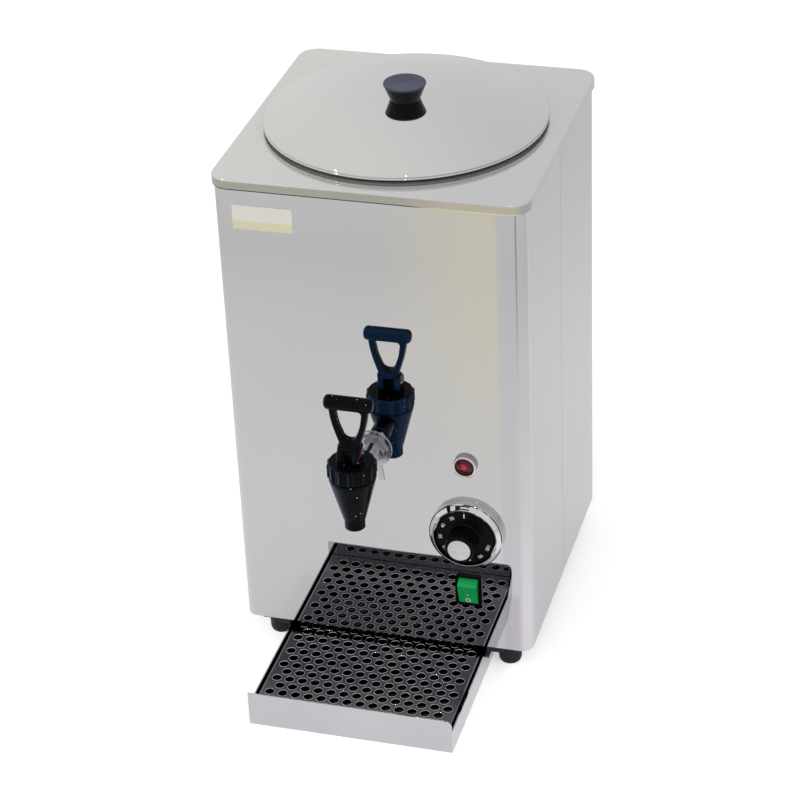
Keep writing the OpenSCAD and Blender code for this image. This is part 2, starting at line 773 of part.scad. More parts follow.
// Soft plug on the stem, which closes the seat above the spout
cup_low = seat_z + 0.6;
cup_slope = (chamber_z - seat_z) / (chamber_r - spout_bore / 2);
cup_high = cup_low + (collar_r - seat_gap - spout_bore / 2) * cup_slope;

module tap_seat_cup() color(silicone) at_tap() difference() {
    turned([[0, cup_low], [spout_bore / 2 + seat_gap, cup_low], [collar_r, cup_high],
        [collar_r, collar_z], [0, collar_z]]);
    translate([0, 0, collar_z - stem_in]) rod(stem_r, stem_in + cut);
}

module tap_spring() color(chrome) at_tap() translate([0, 0, collar_z + collar_t])
    ring(collar_r - 1, stem_r + 1.4, bonnet_top - bonnet_roof - collar_z - collar_t);

// Handle: round grip on a looped arm over a forked foot, measured from its pin
module grip_bar() rotate([0, 90, 0]) rotate_extrude($fn = small_fn) polygon(concat(
    [[0, -grip_l / 2]], arc(grip_r - grip_round, grip_round - grip_l / 2, grip_round, -90, 0, 6),
    arc(grip_r - grip_round, grip_l / 2 - grip_round, grip_round, 0, 90, 6), [[0, grip_l / 2]]));

// The loop widens from its waist in a quarter wave and runs upright into the grip
function loop_side(u) = [(waist_w + (loop_w - waist_w) * sin(90 * u)) / 2,
    waist_h + 2 + (grip_h - waist_h - 2) * u];

module loop_half() {
    polygon(concat([[0, 4], [fork_w / 2, 4], [waist_w / 2, waist_h]], [for (i = [0:10]) loop_side(i / 10)],
        [[0, grip_h]]));
}

module loop_outline() difference() {
    for (side = [0, 1]) mirror([side, 0]) loop_half();
    hull() {
        translate([0, hole_low + hole_low_r]) circle(hole_low_r, $fn = 32);
        for (side = [-1, 1]) {
            translate([side * (loop_w / 2 - arm_w - hole_corner_r), hole_top - hole_corner_r])
                circle(hole_corner_r, $fn = 32);
            translate([side * (loop_w / 2 - arm_w - hole_corner_r - 1.8), (hole_low + hole_top) / 2])
                circle(hole_corner_r, $fn = 32);
        }
    }
}

module tap_handle() color(black) at_tap() translate([0, 0, pin_z]) difference() {
    union() {
        translate([0, 0, grip_h]) grip_bar();
        translate([0, arm_t / 2, 0]) rotate([90, 0, 0]) linear_extrude(arm_t) loop_outline();
        rod_x(foot_cam_r, fork_w);
        translate([0, -cam_off, 0]) rod_x(foot_cam_r, fork_w);
        translate([-fork_w / 2, -cam_off, -foot_cam_r]) cube([fork_w, cam_off, 2 * foot_cam_r]);
    }
    rod_x(slot_r, slot_w);
    translate([-slot_w / 2, -3 * cam_off, -2 * foot_cam_r]) cube([slot_w, 5 * cam_off, 2 * foot_cam_r]);
    rod_x(pin_r, fork_w + 2 * cut);
}

module tap_handle_pin() color(chrome) at_tap() translate([0, 0, pin_z]) rod_x(pin_r, fork_w);

// Temperature control behind the panel, with the dial in front of it
stat_tab_x = 9;
stat_tab_z = 10;
spindle_in = 11;
spindle_out = 8;

module stat_tab() translate([-spade_t / 2, -spade_w / 2, -spade_l]) cube([spade_t, spade_w, spade_l + cut]);

module at_thermostat() on_front(ctrl_x, dial_z) translate([0, 0, -sheet_t]) children();

module thermostat_body() color([0.9, 0.9, 0.88]) at_thermostat() difference() {
    union() {
        translate([-stat_w / 2, -stat_h / 2, -stat_l]) cube([stat_w, stat_h, stat_l]);
        for (x = [-stat_tab_x, stat_tab_x]) translate([x, -stat_tab_z, -stat_l]) stat_tab();
    }
    translate([0, 0, -spindle_in - 1]) rod(spindle_r + pin_fit, spindle_in + 1 + cut);
}

// Bulb under the vessel's floor and the thin copper tube that leads to it
bulb_z = floor_z - bulb_gap - bulb_d / 2;
bulb_y = vessel_back - bulb_front;
capillary_r = 0.9;
stat_top = dial_z + stat_h / 2;

bulb_end = vessel_x + bulb_l / 2;

capillary = [[bulb_end - 0.5, bulb_y, bulb_z], [bulb_end + 12, bulb_y, bulb_z],
    [bulb_end + 26, bulb_y + 2, bulb_z - 8], [ctrl_x - 8, bulb_y - 8, stat_top + 12],
    [ctrl_x + 4, bulb_y - 16, stat_top + 6], [ctrl_x + 6, sheet_t + stat_l / 2, stat_top + seat_gap]];

module thermostat_bulb() color([0.75, 0.45, 0.3]) {
    translate([vessel_x, bulb_y, bulb_z]) rod_x(bulb_d / 2, bulb_l);
    swept_tube(capillary, capillary_r);
}

// Saddle that holds the bulb against the floor
saddle_w = bulb_d + 2 * bulb_gap;

module bulb_clip() color(steel) translate([vessel_x, bulb_y, floor_z]) {
    difference() {
        translate([-clip_w / 2, -saddle_w / 2 - clip_t, -saddle_w - clip_t])
            cube([clip_w, saddle_w + 2 * clip_t, saddle_w + clip_t]);
        translate([-clip_w / 2 - cut, -saddle_w / 2, -saddle_w])
            cube([clip_w + 2 * cut, saddle_w, saddle_w + cut]);
    }
    for (y = [-saddle_w / 2 - clip_foot, saddle_w / 2]) translate([-clip_w / 2, y, -clip_t])
        cube([clip_w, clip_foot, clip_t]);
}

module thermostat_bezel() color(chrome) on_front(ctrl_x, dial_z) turned([
    [bezel_bore_r, 0], [bezel_d / 2, 0], [bezel_d / 2, bezel_wall - 0.4], [bezel_d / 2 - 0.8, bezel_wall + 0.5],
    [bezel_bore_r + 0.9, bezel_out], [bezel_bore_r, bezel_out - 0.5]]);

module dial_spindle() color(chrome) on_front(ctrl_x, dial_z) translate([0, 0, -sheet_t - spindle_in])
    rod(spindle_r, sheet_t + spindle_in + dial_out - spindle_out);

module temperature_dial() color(black) on_front(ctrl_x, dial_z) difference() {
    turned([[0, dial_skirt_in], [dial_d / 2 - 0.6, dial_skirt_in], [dial_d / 2, dial_skirt_in + 0.6],
        [dial_d / 2, dial_skirt_out - 1.4], [dial_d / 2 - 1, dial_skirt_out - 0.4],
        [dial_hub_r + 1, dial_skirt_out], [dial_hub_r, dial_skirt_out + 1],
        [dial_nose_r, dial_out - 1.2], [dial_nose_r - 1.2, dial_out], [0, dial_out]]);
    for (i = [0:flute_count - 1]) rotate([0, 0, 360 * (i + 0.5) / flute_count])
        translate([dial_hub_r + flute_r - flute_in, 0, dial_skirt_out + 3])
            cylinder(r = flute_r, h = dial_out, $fn = 24);
    translate([0, 0, dial_out - cap_t]) disc(cap_d / 2, cap_t + cut);
    rod(spindle_r, dial_out - spindle_out);
}

module dial_cap() color([0.8, 0.8, 0.82]) on_front(ctrl_x, dial_z) translate([0, 0, dial_out - cap_t])
    disc(cap_d / 2, cap_t + 0.5);

// Lamp
lamp_seat = 1.5;
lamp_collar = 1.6;
lens_side = lamp_out - 2;
lens_drop = 12;
lens_arc_r = norm([lens_drop, lens_r]);

module lamp_bezel() color(chrome) on_front(ctrl_x, lamp_z) turned([
    [lamp_neck_r, 0], [lamp_d / 2, 0], [lamp_d / 2, lamp_out - 0.8], [lamp_d / 2 - 0.8, lamp_out],
    [lens_r, lamp_out - 0.6], [lens_r, lamp_seat], [lamp_neck_r, lamp_seat]]);

module lamp_lens() color([0.7, 0.06, 0.1]) on_front(ctrl_x, lamp_z) turned(concat(
    [[0, lamp_seat], [lens_r, lamp_seat]],
    arc(0, lens_side - lens_drop, lens_arc_r, atan(lens_drop / lens_r), 90, 8)));

module lamp_body() color([0.1, 0.1, 0.1]) on_front(ctrl_x, lamp_z) {
    translate([0, 0, -sheet_t - lamp_l]) rod(lamp_neck_r + lamp_collar, lamp_l);
    translate([0, 0, -sheet_t - cut]) rod(lamp_neck_r, sheet_t + cut + lamp_seat);
}

// Rocker switch, tipped to its off side: the lower edge is in, the upper edge stands out
pivot_fit = 0.06;
rocker_gap = 0.3;
well_r = rocker_r + 0.35;
well_w = rocker_w + 2 * rocker_gap;

module switch_frame() color(black) on_front(ctrl_x, switch_z) difference() {
    union() {
        translate([0, -switch_h / 2, 0]) linear_extrude(frame_t) rounded(switch_w, switch_h, 2);
        translate([-housing_w / 2, -housing_h / 2, -housing_l]) cube([housing_w, housing_h, housing_l + cut]);
    }
    translate([0, 0, -pivot_in]) rod_x(well_r, well_w);
    translate([-well_w / 2, -rocker_r, -pivot_in]) cube([well_w, 2 * rocker_r, pivot_in + frame_t + cut]);
    translate([0, 0, -pivot_in]) rod_x(pivot_pin_r + pivot_fit, rocker_w + 2 * pin_end + 0.8);
}

module at_pivot() on_front(ctrl_x, switch_z) translate([0, 0, -pivot_in]) rotate([rock_deg, 0, 0]) children();

module switch_rocker() color([0.1, 0.62, 0.32]) at_pivot() {
    intersection() {
        rod_x(rocker_r, rocker_w);
        translate([-rocker_w, -2 * rocker_r, -rocker_r / 2])
            cube([2 * rocker_w, 4 * rocker_r, rocker_r / 2 + rocker_face + pivot_in]);
    }
    rod_x(pivot_pin_r, rocker_w + 2 * pin_end);
}

module switch_terminals() color(brass) on_front(ctrl_x, switch_z)
    for (x = [-tab_in, tab_in], y = [-tab_up, tab_up])
        translate([x - spade_t / 2, y - spade_w / 2, -housing_l - spade_l]) cube([spade_t, spade_w, spade_l]);

// Terminal block on the floor pan and the gland that a lead would come in by
pole_x = [for (i = [0:3]) block_x + (i - 1.5) * pole_step];
pole_depth = 7;
pole_r = 2.7;
block_y = body_d - block_back;
pole_z = base_t + block_h - pole_depth;
clamp_hole_z = base_t + 6;

module terminal_block() color([0.92, 0.9, 0.85]) difference() {
    translate([block_x - block_l / 2, block_y - block_w / 2, base_t]) cube([block_l, block_w, block_h]);
    for (x = pole_x) {
        translate([x, block_y, pole_z]) cylinder(r = pole_r, h = pole_depth + cut, $fn = 24);
        translate([x, 0, clamp_hole_z]) rod_y(2.2, block_y - block_w / 2 - cut, block_y + block_w / 2 + cut);
    }
}

module terminal_screws() color(brass) for (x = pole_x) translate([x, block_y, pole_z])
    cylinder(r = pole_r, h = pole_depth - 1.5, $fn = 24);

gland_tail = sheet_t + gland_nut_t + 3;

module cable_gland() color(black) on_back(gland_x, gland_z) difference() {
    union() {
        translate([0, 0, -gland_tail]) rod(gland_r, gland_tail + cut);
        hex(gland_hex_r, gland_hex_t);
        rotate_extrude($fn = small_fn) polygon([[0, gland_hex_t - cut], [gland_cap_r, gland_hex_t - cut],
            [gland_cap_r, gland_out - 6], [gland_bore_r + 3.5, gland_out], [0, gland_out]]);
    }
    translate([0, 0, -gland_tail - cut]) rod(gland_bore_r, gland_tail + gland_out + 2 * cut);
}

module gland_locknut() color(black) on_back(gland_x, gland_z) difference() {
    translate([0, 0, -sheet_t - gland_nut_t]) hex(gland_hex_r, gland_nut_t);
    translate([0, 0, -gland_tail]) rod(gland_r, gland_tail + cut);
}

// Wires between the terminal block, the switch, the thermostat, the heater and the lamp
wire_r = 1.2;
wire_gap = 0.3;
pole_front = block_y - block_w / 2;
tab_back = housing_l + spade_l + wire_gap;
stat_back = sheet_t + stat_l + spade_l + wire_gap;
post_y = vessel_back + post_back;
post_z = heater_z - post_h - wire_gap;
earth_x = vessel_x - 49;

// Route points: where a wire leaves the block, and where it meets a spade or a post
function from_pole(i) = let (x = pole_x[i], z = clamp_hole_z)
    [[x, pole_front + 5, z], [x, pole_front - 7, z], [x, pole_front - 25, z + 4]];
function at_switch(side, up) = let (x = ctrl_x + side * tab_in, z = switch_z + up * tab_up)
    [[x, tab_back + 22, z], [x, tab_back, z]];
function at_stat(side) = let (x = ctrl_x + side * stat_tab_x, z = dial_z - stat_tab_z)
    [[x, stat_back + 20, z], [x, stat_back, z]];
function at_post(side) = let (x = vessel_x + side * post_x) [[x, post_y, post_z - 14], [x, post_y, post_z]];
function reversed(p) = [for (i = [len(p) - 1:-1:0]) p[i]];

module wire(points) swept_tube(points, wire_r, 3, 6);

module wiring() color([0.2, 0.35, 0.75]) {
    wire(concat(from_pole(0), [[-20, 120, 8], [ctrl_x - 30, 80, 30]], at_switch(-1, 1)));
    wire(concat(from_pole(1), [[0, 132, 8], [ctrl_x + 18, 96, 26]], at_switch(1, 1)));
    wire(concat(reversed(at_switch(-1, -1)), [[ctrl_x - 34, 60, 60], [ctrl_x - 30, 66, 104]], at_stat(-1)));
    wire(concat(reversed(at_stat(1)), [[ctrl_x - 6, 110, 118], [vessel_x + post_x + 16, post_y - 11, 138]], at_post(1)));
    wire(concat(reversed(at_switch(1, -1)), [[40, post_y - 22, 50], [vessel_x - post_x - 4, post_y, 106]], at_post(-1)));
    wire(concat(from_pole(3), [[-56, 110, 60], [-58, 131, 142]],
        [[earth_x, vessel_back, clamp_z - 12], [earth_x, vessel_back, clamp_z - wire_gap]]));
    wire(concat(from_pole(2), [[-40, 90, 40], [20, 50, 120], [ctrl_x - 6, 56, 158]],
        [[ctrl_x, sheet_t + lamp_l + 14, lamp_z], [ctrl_x, sheet_t + lamp_l + wire_gap, lamp_z]]));
}

// Drip tray: open pan with a tall front plate whose right-hand corner is rounded
module front_outline() {
    translate([-tray_w / 2, 0]) square([tray_w - tray_corner_r, tray_front_h]);
    translate([-tray_w / 2, 0]) square([tray_w, tray_front_h - tray_corner_r]);
    translate([tray_w / 2 - tray_corner_r, tray_front_h - tray_corner_r])
        circle(tray_corner_r, $fn = small_fn);
}

module drip_tray() color(steel) translate([0, -tray_out, tray_z]) {
    difference() {
        translate([-tray_w / 2, 0, 0]) cube([tray_w, tray_l, tray_h]);
        translate([tray_t - tray_w / 2, tray_t, tray_t])
            cube([tray_w - 2 * tray_t, tray_l - 2 * tray_t, tray_h]);
    }
    translate([0, tray_t, 0]) rotate([90, 0, 0]) linear_extrude(tray_t) front_outline();
}

// Grille: perforated pan laid upside down in the tray
grille_skirt = tray_h - grille_drop - tray_t - move_gap;
hole_cols = floor((grille_w - 2 * hole_margin - hole_pitch / 2) / hole_pitch);
hole_rows = floor((grille_l - 2 * hole_margin) / row_step);
first_hole_x = -(hole_cols + 0.5) * hole_pitch / 2;
first_hole_y = (grille_l - hole_rows * row_step) / 2;

module grille_plan() difference() {
    translate([-grille_w / 2, 0]) square([grille_w, grille_l]);
    for (row = [0:hole_rows], col = [0:hole_cols])
        translate([first_hole_x + (col + (row + 1) % 2 / 2) * hole_pitch, first_hole_y + row * row_step])
            circle(hole_d / 2, $fn = 24);
}

module drip_grille() color(dark_steel) translate([0, tray_t + grille_gap - tray_out, grille_z]) {
    translate([0, 0, -grille_t]) linear_extrude(grille_t) grille_plan();
    translate([-grille_w / 2, 0, -grille_skirt]) difference() {
        cube([grille_w, grille_l, grille_skirt - grille_t]);
        translate([grille_t, grille_t, -cut])
            cube([grille_w - 2 * grille_t, grille_l - 2 * grille_t, grille_skirt + cut]);
    }
}

// Guides: sheet strips under the casing, turned down beside the tray and at their ends
guide_w = foot_x + foot_d / 2 - guide_x - guide_side;
guide_l = body_d - 2 * sheet_t;

module guide() color(dark_steel) difference() {
    union() {
        translate([guide_x, sheet_t, -guide_t]) cube([guide_w, guide_l, guide_t]);
        translate([guide_x, sheet_t, -guide_h]) cube([guide_t, guide_l, guide_h]);
        for (y = [sheet_t, sheet_t + guide_l - guide_t]) translate([guide_x, y, -guide_tab])
            cube([foot_x - guide_x - guide_side, guide_t, guide_tab]);
    }
    for (y = [foot_in, foot_back]) translate([foot_x, y, -guide_t - cut]) rod(screw_r, guide_t + 2 * cut);
}

module tray_guide_right() guide();

module tray_guide_left() mirror([1, 0, 0]) guide();

// Feet: round rubber buffers with a recessed screw
base_round = foot_d / 2 - foot_base_d / 2;

module foot(i) color(rubber) translate([foot_places[i][0], foot_places[i][1], -stand_h]) difference() {
    rotate_extrude($fn = round_fn) polygon(concat([[0, 0]],
        [for (t = [0:15:90]) [foot_base_d / 2 + base_round * sin(t), 2.6 * base_round * (1 - cos(t))]],
        [[foot_d / 2, foot_h], [0, foot_h]]));
    translate([0, 0, -cut]) rod(head_r + 0.6, foot_recess + cut);
    rod(screw_r, foot_h + cut);
}

module foot_front_left() foot(0);

module foot_front_right() foot(1);

module foot_rear_left() foot(2);

module foot_rear_right() foot(3);

foot_screw_l = stand_h - foot_recess + base_t + foot_nut_t + 2;

module foot_screws() color(chrome) for (p = foot_places) translate([p[0], p[1], foot_recess - stand_h]) {
    translate([0, 0, -head_t]) rod(head_r, head_t);
    translate([0, 0, -head_t / 2]) rod(screw_r, head_t / 2 + foot_screw_l);
}

module foot_nuts() color(chrome) for (p = foot_places) translate([p[0], p[1], base_t]) difference() {
    hex(foot_nut_r, foot_nut_t);
    translate([0, 0, -cut]) rod(screw_r, foot_nut_t + 2 * cut);
}

in_place() casing_front();
in_place() casing_rear();
in_place() seam_strips();
in_place() base_plate();
in_place() top_plate();
in_place() top_brackets();
in_place() casing_screws();
in_place() blank_label();
in_place() milk_vessel();
in_place() rim_gasket();
in_place() insulation_sleeve();
in_place() heater_plate();
in_place() heater_clamp();
in_place() heater_nut();
in_place() thermal_cutout();
in_place() lid();
in_place() lid_knob();
in_place() lid_knob_screw();
in_place() tap_shank();
in_place() shank_gasket();
in_place() shank_inner_nut();
in_place() panel_spacer();
in_place() tab_washer();
in_place() panel_nut();
in_place() tap_jam_nut();
in_place() tap_body();
in_place() tap_bonnet();
in_place() tap_stem();
in_place() tap_seat_cup();
in_place() tap_spring();
in_place() tap_handle();
in_place() tap_handle_pin();
in_place() thermostat_body();
in_place() thermostat_bulb();
in_place() bulb_clip();
in_place() thermostat_bezel();
in_place() dial_spindle();
in_place() temperature_dial();
in_place() dial_cap();
in_place() lamp_bezel();
in_place() lamp_lens();
in_place() lamp_body();
in_place() switch_frame();
in_place() switch_rocker();
in_place() switch_terminals();
in_place() terminal_block();
in_place() terminal_screws();
in_place() cable_gland();
in_place() gland_locknut();
in_place() wiring();
in_place() drip_tray();
in_place() drip_grille();
in_place() tray_guide_left();
in_place() tray_guide_right();
in_place() foot_front_left();
in_place() foot_front_right();
in_place() foot_rear_left();
in_place() foot_rear_right();
in_place() foot_screws();
in_place() foot_nuts();
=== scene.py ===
"""Heated milk dispenser: finishes, moulded detail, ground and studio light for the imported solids.
Metres throughout, with X to the right, Y to the back and Z up from the table."""
import math

import bpy
import numpy as np
from mathutils import Matrix, Vector


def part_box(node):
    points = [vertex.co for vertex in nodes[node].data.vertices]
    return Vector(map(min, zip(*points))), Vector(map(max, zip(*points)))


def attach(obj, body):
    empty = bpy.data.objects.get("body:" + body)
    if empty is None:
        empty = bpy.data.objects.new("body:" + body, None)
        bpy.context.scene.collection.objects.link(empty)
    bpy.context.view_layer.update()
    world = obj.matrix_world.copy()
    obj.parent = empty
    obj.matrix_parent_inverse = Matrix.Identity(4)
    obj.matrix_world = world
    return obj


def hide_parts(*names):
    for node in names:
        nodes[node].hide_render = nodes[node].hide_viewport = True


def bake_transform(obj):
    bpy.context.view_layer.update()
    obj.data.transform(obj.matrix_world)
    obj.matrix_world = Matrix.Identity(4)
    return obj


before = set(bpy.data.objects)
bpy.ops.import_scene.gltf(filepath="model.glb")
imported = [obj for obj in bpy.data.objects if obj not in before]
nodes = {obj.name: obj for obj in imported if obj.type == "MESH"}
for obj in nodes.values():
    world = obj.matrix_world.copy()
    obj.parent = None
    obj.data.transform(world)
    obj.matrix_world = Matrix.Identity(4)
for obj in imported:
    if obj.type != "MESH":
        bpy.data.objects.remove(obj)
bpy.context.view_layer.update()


# Camera: a long lens to the right of the tap and above the lid, tipped a little on its axis.
# Its place and turn come from the straight edges of the casing and the tray.
def in_scene(name, data):
    """A new object of this name and data, put into the scene."""
    made = bpy.data.objects.new(name, data)
    bpy.context.scene.collection.objects.link(made)
    return made


camera_place = Vector((0.5775, -1.8851, 1.4113))
camera_azimuth = math.radians(17.13)
camera_elevation = math.radians(31.20)
camera_roll = math.radians(2.59)

forward = Vector((
    -math.sin(camera_azimuth) * math.cos(camera_elevation),
    math.cos(camera_azimuth) * math.cos(camera_elevation),
    -math.sin(camera_elevation),
))
level = forward.cross(Vector((0, 0, 1))).normalized()
plumb = forward.cross(level)
right = math.cos(camera_roll) * level + math.sin(camera_roll) * plumb
down = -math.sin(camera_roll) * level + math.cos(camera_roll) * plumb

camera_data = bpy.data.cameras.new("camera")
camera_data.lens = 119.86
camera_data.sensor_width = 36
camera_data.clip_start = 0.05
camera_data.clip_end = 60
camera = in_scene("camera", camera_data)
camera_turn = Matrix((right, -down, -forward)).transposed().to_4x4()
camera.matrix_world = Matrix.Translation(camera_place) @ camera_turn
bpy.context.scene.camera = camera
bpy.context.scene.view_settings.view_transform = "Standard"


# Ground and studio: a white sweep that stays white to the camera and in the polished steel, and keeps
# the soft shadow under the casing. Four large lamps stand round it, and two small ones sparkle.
def add(kind, settings=None, tree=None, **sockets):
    """One shader node, its settings and its inputs: plain values, or outputs of earlier nodes. An input is
    named by its label with underscores, or by i and its number. The node joins the tree of those outputs;
    one without them is given its tree."""
    linked = [value for value in sockets.values() if isinstance(value, bpy.types.NodeSocket)]
    tree = tree or linked[0].id_data
    made = tree.nodes.new(kind)
    for name, value in (settings or {}).items():
        setattr(made, name, value)
    for name, value in sockets.items():
        numbered = name[0] == "i" and name[1:].isdigit()
        socket = made.inputs[int(name[1:])] if numbered else made.inputs[name.replace("_", " ")]
        if isinstance(value, bpy.types.NodeSocket):
            tree.links.new(value, socket)
        else:
            socket.default_value = (*value, 1)[:4] if socket.type == "RGBA" else value
    return made


def calc(operation, first, second=0.0, third=0.0):
    """Output of a Math node that works on up to three values."""
    return add("ShaderNodeMath", {"operation": operation}, i0=first, i1=second, i2=third).outputs[0]


def times(first, second):
    """Product of two values."""
    return calc("MULTIPLY", first, second)


def slope(value, start, end, low=0.0, high=1.0, shape="SMOOTHSTEP"):
    """low up to start, high from end on, and a smooth slope between them; start may be above end."""
    if start > end:
        start, end, low, high = end, start, high, low
    return add("ShaderNodeMapRange", {"interpolation_type": shape}, Value=value, From_Min=start,
               From_Max=end, To_Min=low, To_Max=high).outputs[0]


def new_material(name):
    """An empty material and its Object coordinates."""
    material = bpy.data.materials.new(name)
    material.use_nodes = True
    material.node_tree.nodes.clear()
    return material, add("ShaderNodeTexCoord", tree=material.node_tree).outputs["Object"]


def full_turn(steps):
    """Angles at equal steps round a whole turn."""
    return np.linspace(0, 2 * math.pi, steps + 1)[:-1]


def grid_faces(rows, cols, wrap_rows=False, wrap_cols=False, flip=False):
    """Quads between neighbouring points of a grid of rows by columns, whose last row or column
    is joined to the first where it wraps."""
    row = np.arange(rows if wrap_rows else rows - 1)[:, None]
    col = np.arange(cols if wrap_cols else cols - 1)[None, :]
    here, beside, below = row * cols, (col + 1) % cols, (row + 1) % rows * cols
    quads = np.stack([here + col, here + beside, below + beside, below + col], -1).reshape(-1, 4)
    return quads[:, ::-1] if flip else quads


def new_piece(name, points, faces, material, smooth=True):
    """A mesh object at the origin, from points and faces given as arrays or lists."""
    mesh = bpy.data.meshes.new(name)
    corners = [list(map(int, face)) for face in faces]
    mesh.from_pydata(np.asarray(points, float).reshape(-1, 3).tolist(), [], corners)
    mesh.polygons.foreach_set("use_smooth", np.full(len(mesh.polygons), smooth))
    mesh.materials.append(material)
    mesh.update()
    return in_scene(name, mesh)


# Seen straight on, the ground glows white; in the steel its glow fades with distance from the casing
ground_material, place = new_material("white_ground")
rays = add("ShaderNodeLightPath", tree=place.id_data).outputs
paper = add("ShaderNodeBsdfDiffuse", tree=place.id_data, Color=(0.80, 0.80, 0.80), Roughness=0.6)
distance = add("ShaderNodeVectorMath", {"operation": "LENGTH"}, i0=place).outputs["Value"]
mirrored_glow = slope(distance, 0.25, 1.05, 0.36, 0.10)
to_eye = calc("MAXIMUM", rays["Is Camera Ray"], rays["Is Transmission Ray"])
glow = calc("MAXIMUM", times(to_eye, 0.46), times(rays["Is Glossy Ray"], mirrored_glow))
light = add("ShaderNodeEmission", Strength=glow)
both = add("ShaderNodeAddShader", i0=paper.outputs[0], i1=light.outputs[0])
add("ShaderNodeOutputMaterial", Surface=both.outputs[0])

ring_r = np.array([0.2, 0.6, 1.2, 2.2, 4.0])[:, None]
angle = full_turn(96)
ground = new_piece(
    "ground", np.stack([ring_r * np.cos(angle), ring_r * np.sin(angle), 0 * ring_r * angle], -1),
    grid_faces(len(ring_r), len(angle), wrap_cols=True, flip=True).tolist() + [range(len(angle))],
    ground_material)

world = bpy.data.worlds.new("studio")
world.use_nodes = True
bpy.context.scene.world = world
world.node_tree.nodes.clear()
rays = add("ShaderNodeLightPath", tree=world.node_tree).outputs
to_eye = calc("MAXIMUM", rays["Is Camera Ray"], rays["Is Transmission Ray"])
strength = calc("MULTIPLY_ADD", to_eye, 0.44, 0.56)
strength = calc("MULTIPLY_ADD", rays["Is Glossy Ray"], 0.32, strength)
sky = add("ShaderNodeBackground", Color=(1, 1, 1), Strength=strength)
add("ShaderNodeOutputWorld", Surface=sky.outputs[0])

lit_place = Vector((0, 0, 0.24))


def lamp(name, place, size, watts, colour=(1, 1, 1), mirrored=False):
    """A rectangular lamp that shines at the middle of the casing, seen in mirrors only if asked."""
    data = bpy.data.lights.new(name, "AREA")
    data.shape = "RECTANGLE"
    data.size, data.size_y = size
    data.energy = watts
    data.color = colour
    made = in_scene(name, data)
    made.location = place
    made.rotation_euler = (lit_place - Vector(place)).to_track_quat("-Z", "Y").to_euler()
    made.visible_glossy = mirrored
    made.visible_camera = False


lamp("lamp_left", (-1.5, -1.1, 1.5), (1.4, 1.0), 13)
lamp("lamp_right", (1.6, -0.9, 1.3), (1.2, 1.0), 8, (1.0, 0.98, 0.96))
lamp("lamp_front", (0.1, -1.9, 0.9), (1.4, 0.8), 7)
lamp("lamp_back", (0.2, 1.8, 1.4), (1.4, 0.8), 7)
lamp("sparkle_left", (-0.85, -0.85, 1.25), (0.05, 0.05), 0.9, mirrored=True)
lamp("sparkle_front", (0.35, -1.3, 1.5), (0.04, 0.04), 0.8, mirrored=True)


# Casing: two shells of mirror-polished stainless sheet, bent round the upright edges and welded to
# strips behind the side seams; the rolling and polishing leave a very slight wave and haze.
def group(name, **inputs):
    """A new shader node group and its named inputs; it puts out a colour, a roughness and a normal."""
    made = bpy.data.node_groups.new(name, "ShaderNodeTree")
    outputs = {"Color": "Color", "Roughness": "Float", "Normal": "Vector"}
    for in_out, sockets in (("INPUT", inputs), ("OUTPUT", outputs)):
        for label, kind in sockets.items():
            made.interface.new_socket(label.replace("_", " "), in_out=in_out,
                                      socket_type="NodeSocket" + kind)
    return made, made.nodes.new("NodeGroupInput").outputs


def close_group(colour, roughness, height):
    """Joins a group's colour, roughness and height in metres to its outputs."""
    bumped = add("ShaderNodeBump", Strength=1.0, Distance=1.0, Height=height)
    add("NodeGroupOutput", Color=colour, Roughness=roughness, Normal=bumped.outputs[0])


def noise(place, scale, detail, rough=0.5):
    """Cloudy pattern from 0 to 1, with so many clouds to the metre."""
    return add("ShaderNodeTexNoise", Vector=place, Scale=scale, Detail=detail,
               Roughness=rough).outputs["Fac"]


def stretched(place, scale):
    """Place multiplied by a scale in each direction, which draws a pattern out along one of them."""
    return add("ShaderNodeVectorMath", {"operation": "MULTIPLY"}, i0=place, i1=scale).outputs[0]


def axes(place):
    """X, Y and Z of a place."""
    return add("ShaderNodeSeparateXYZ", i0=place).outputs


def mix_colour(factor, first, second, blend="MIX"):
    """Colour between two colours, or their product where blend is MULTIPLY."""
    return add("ShaderNodeMix", {"data_type": "RGBA", "blend_type": blend}, i0=factor, i6=first,
               i7=second).outputs[2]


polish_group, entry = group("polished_sheet", Place="Vector", Metal="Color", Tint="Color", Patch="Float",
                            Wave="Float", Haze_Low="Float", Haze_High="Float", Extra_Height="Float")
patches = slope(noise(entry["Place"], entry["Patch"], 2.0, 0.4), 0.35, 0.65)
rubbed = noise(stretched(entry["Place"], (30, 30, 900)), 1.0, 3.0)
smears = noise(entry["Place"], 28.0, 4.0, 0.6)
swell = noise(entry["Place"], 7.0, 1.0, 0.3)
close_group(mix_colour(patches, entry["Metal"], entry["Tint"]),
            slope(times(rubbed, smears), 0.12, 0.42, entry["Haze Low"], entry["Haze High"], "LINEAR"),
            calc("MULTIPLY_ADD", swell, entry["Wave"], entry["Extra Height"]))


def coated(name, skin_group, shader, colour=None, extra=None, **values):
    """Material that takes its colour, roughness and normal from a group with these values. colour
    changes the colour and extra adds a height in metres, both by the Object coordinates."""
    material, place = new_material(name)
    if extra:
        values["Extra_Height"] = extra(place)
    skin = add("ShaderNodeGroup", {"node_tree": skin_group}, Place=place, **values)
    shown = colour(place, skin.outputs["Color"]) if colour else skin.outputs["Color"]
    coat = add("ShaderNodeBsdfPrincipled", Base_Color=shown, Roughness=skin.outputs["Roughness"],
               Normal=skin.outputs["Normal"], **shader)
    add("ShaderNodeOutputMaterial", Surface=coat.outputs[0])
    return material


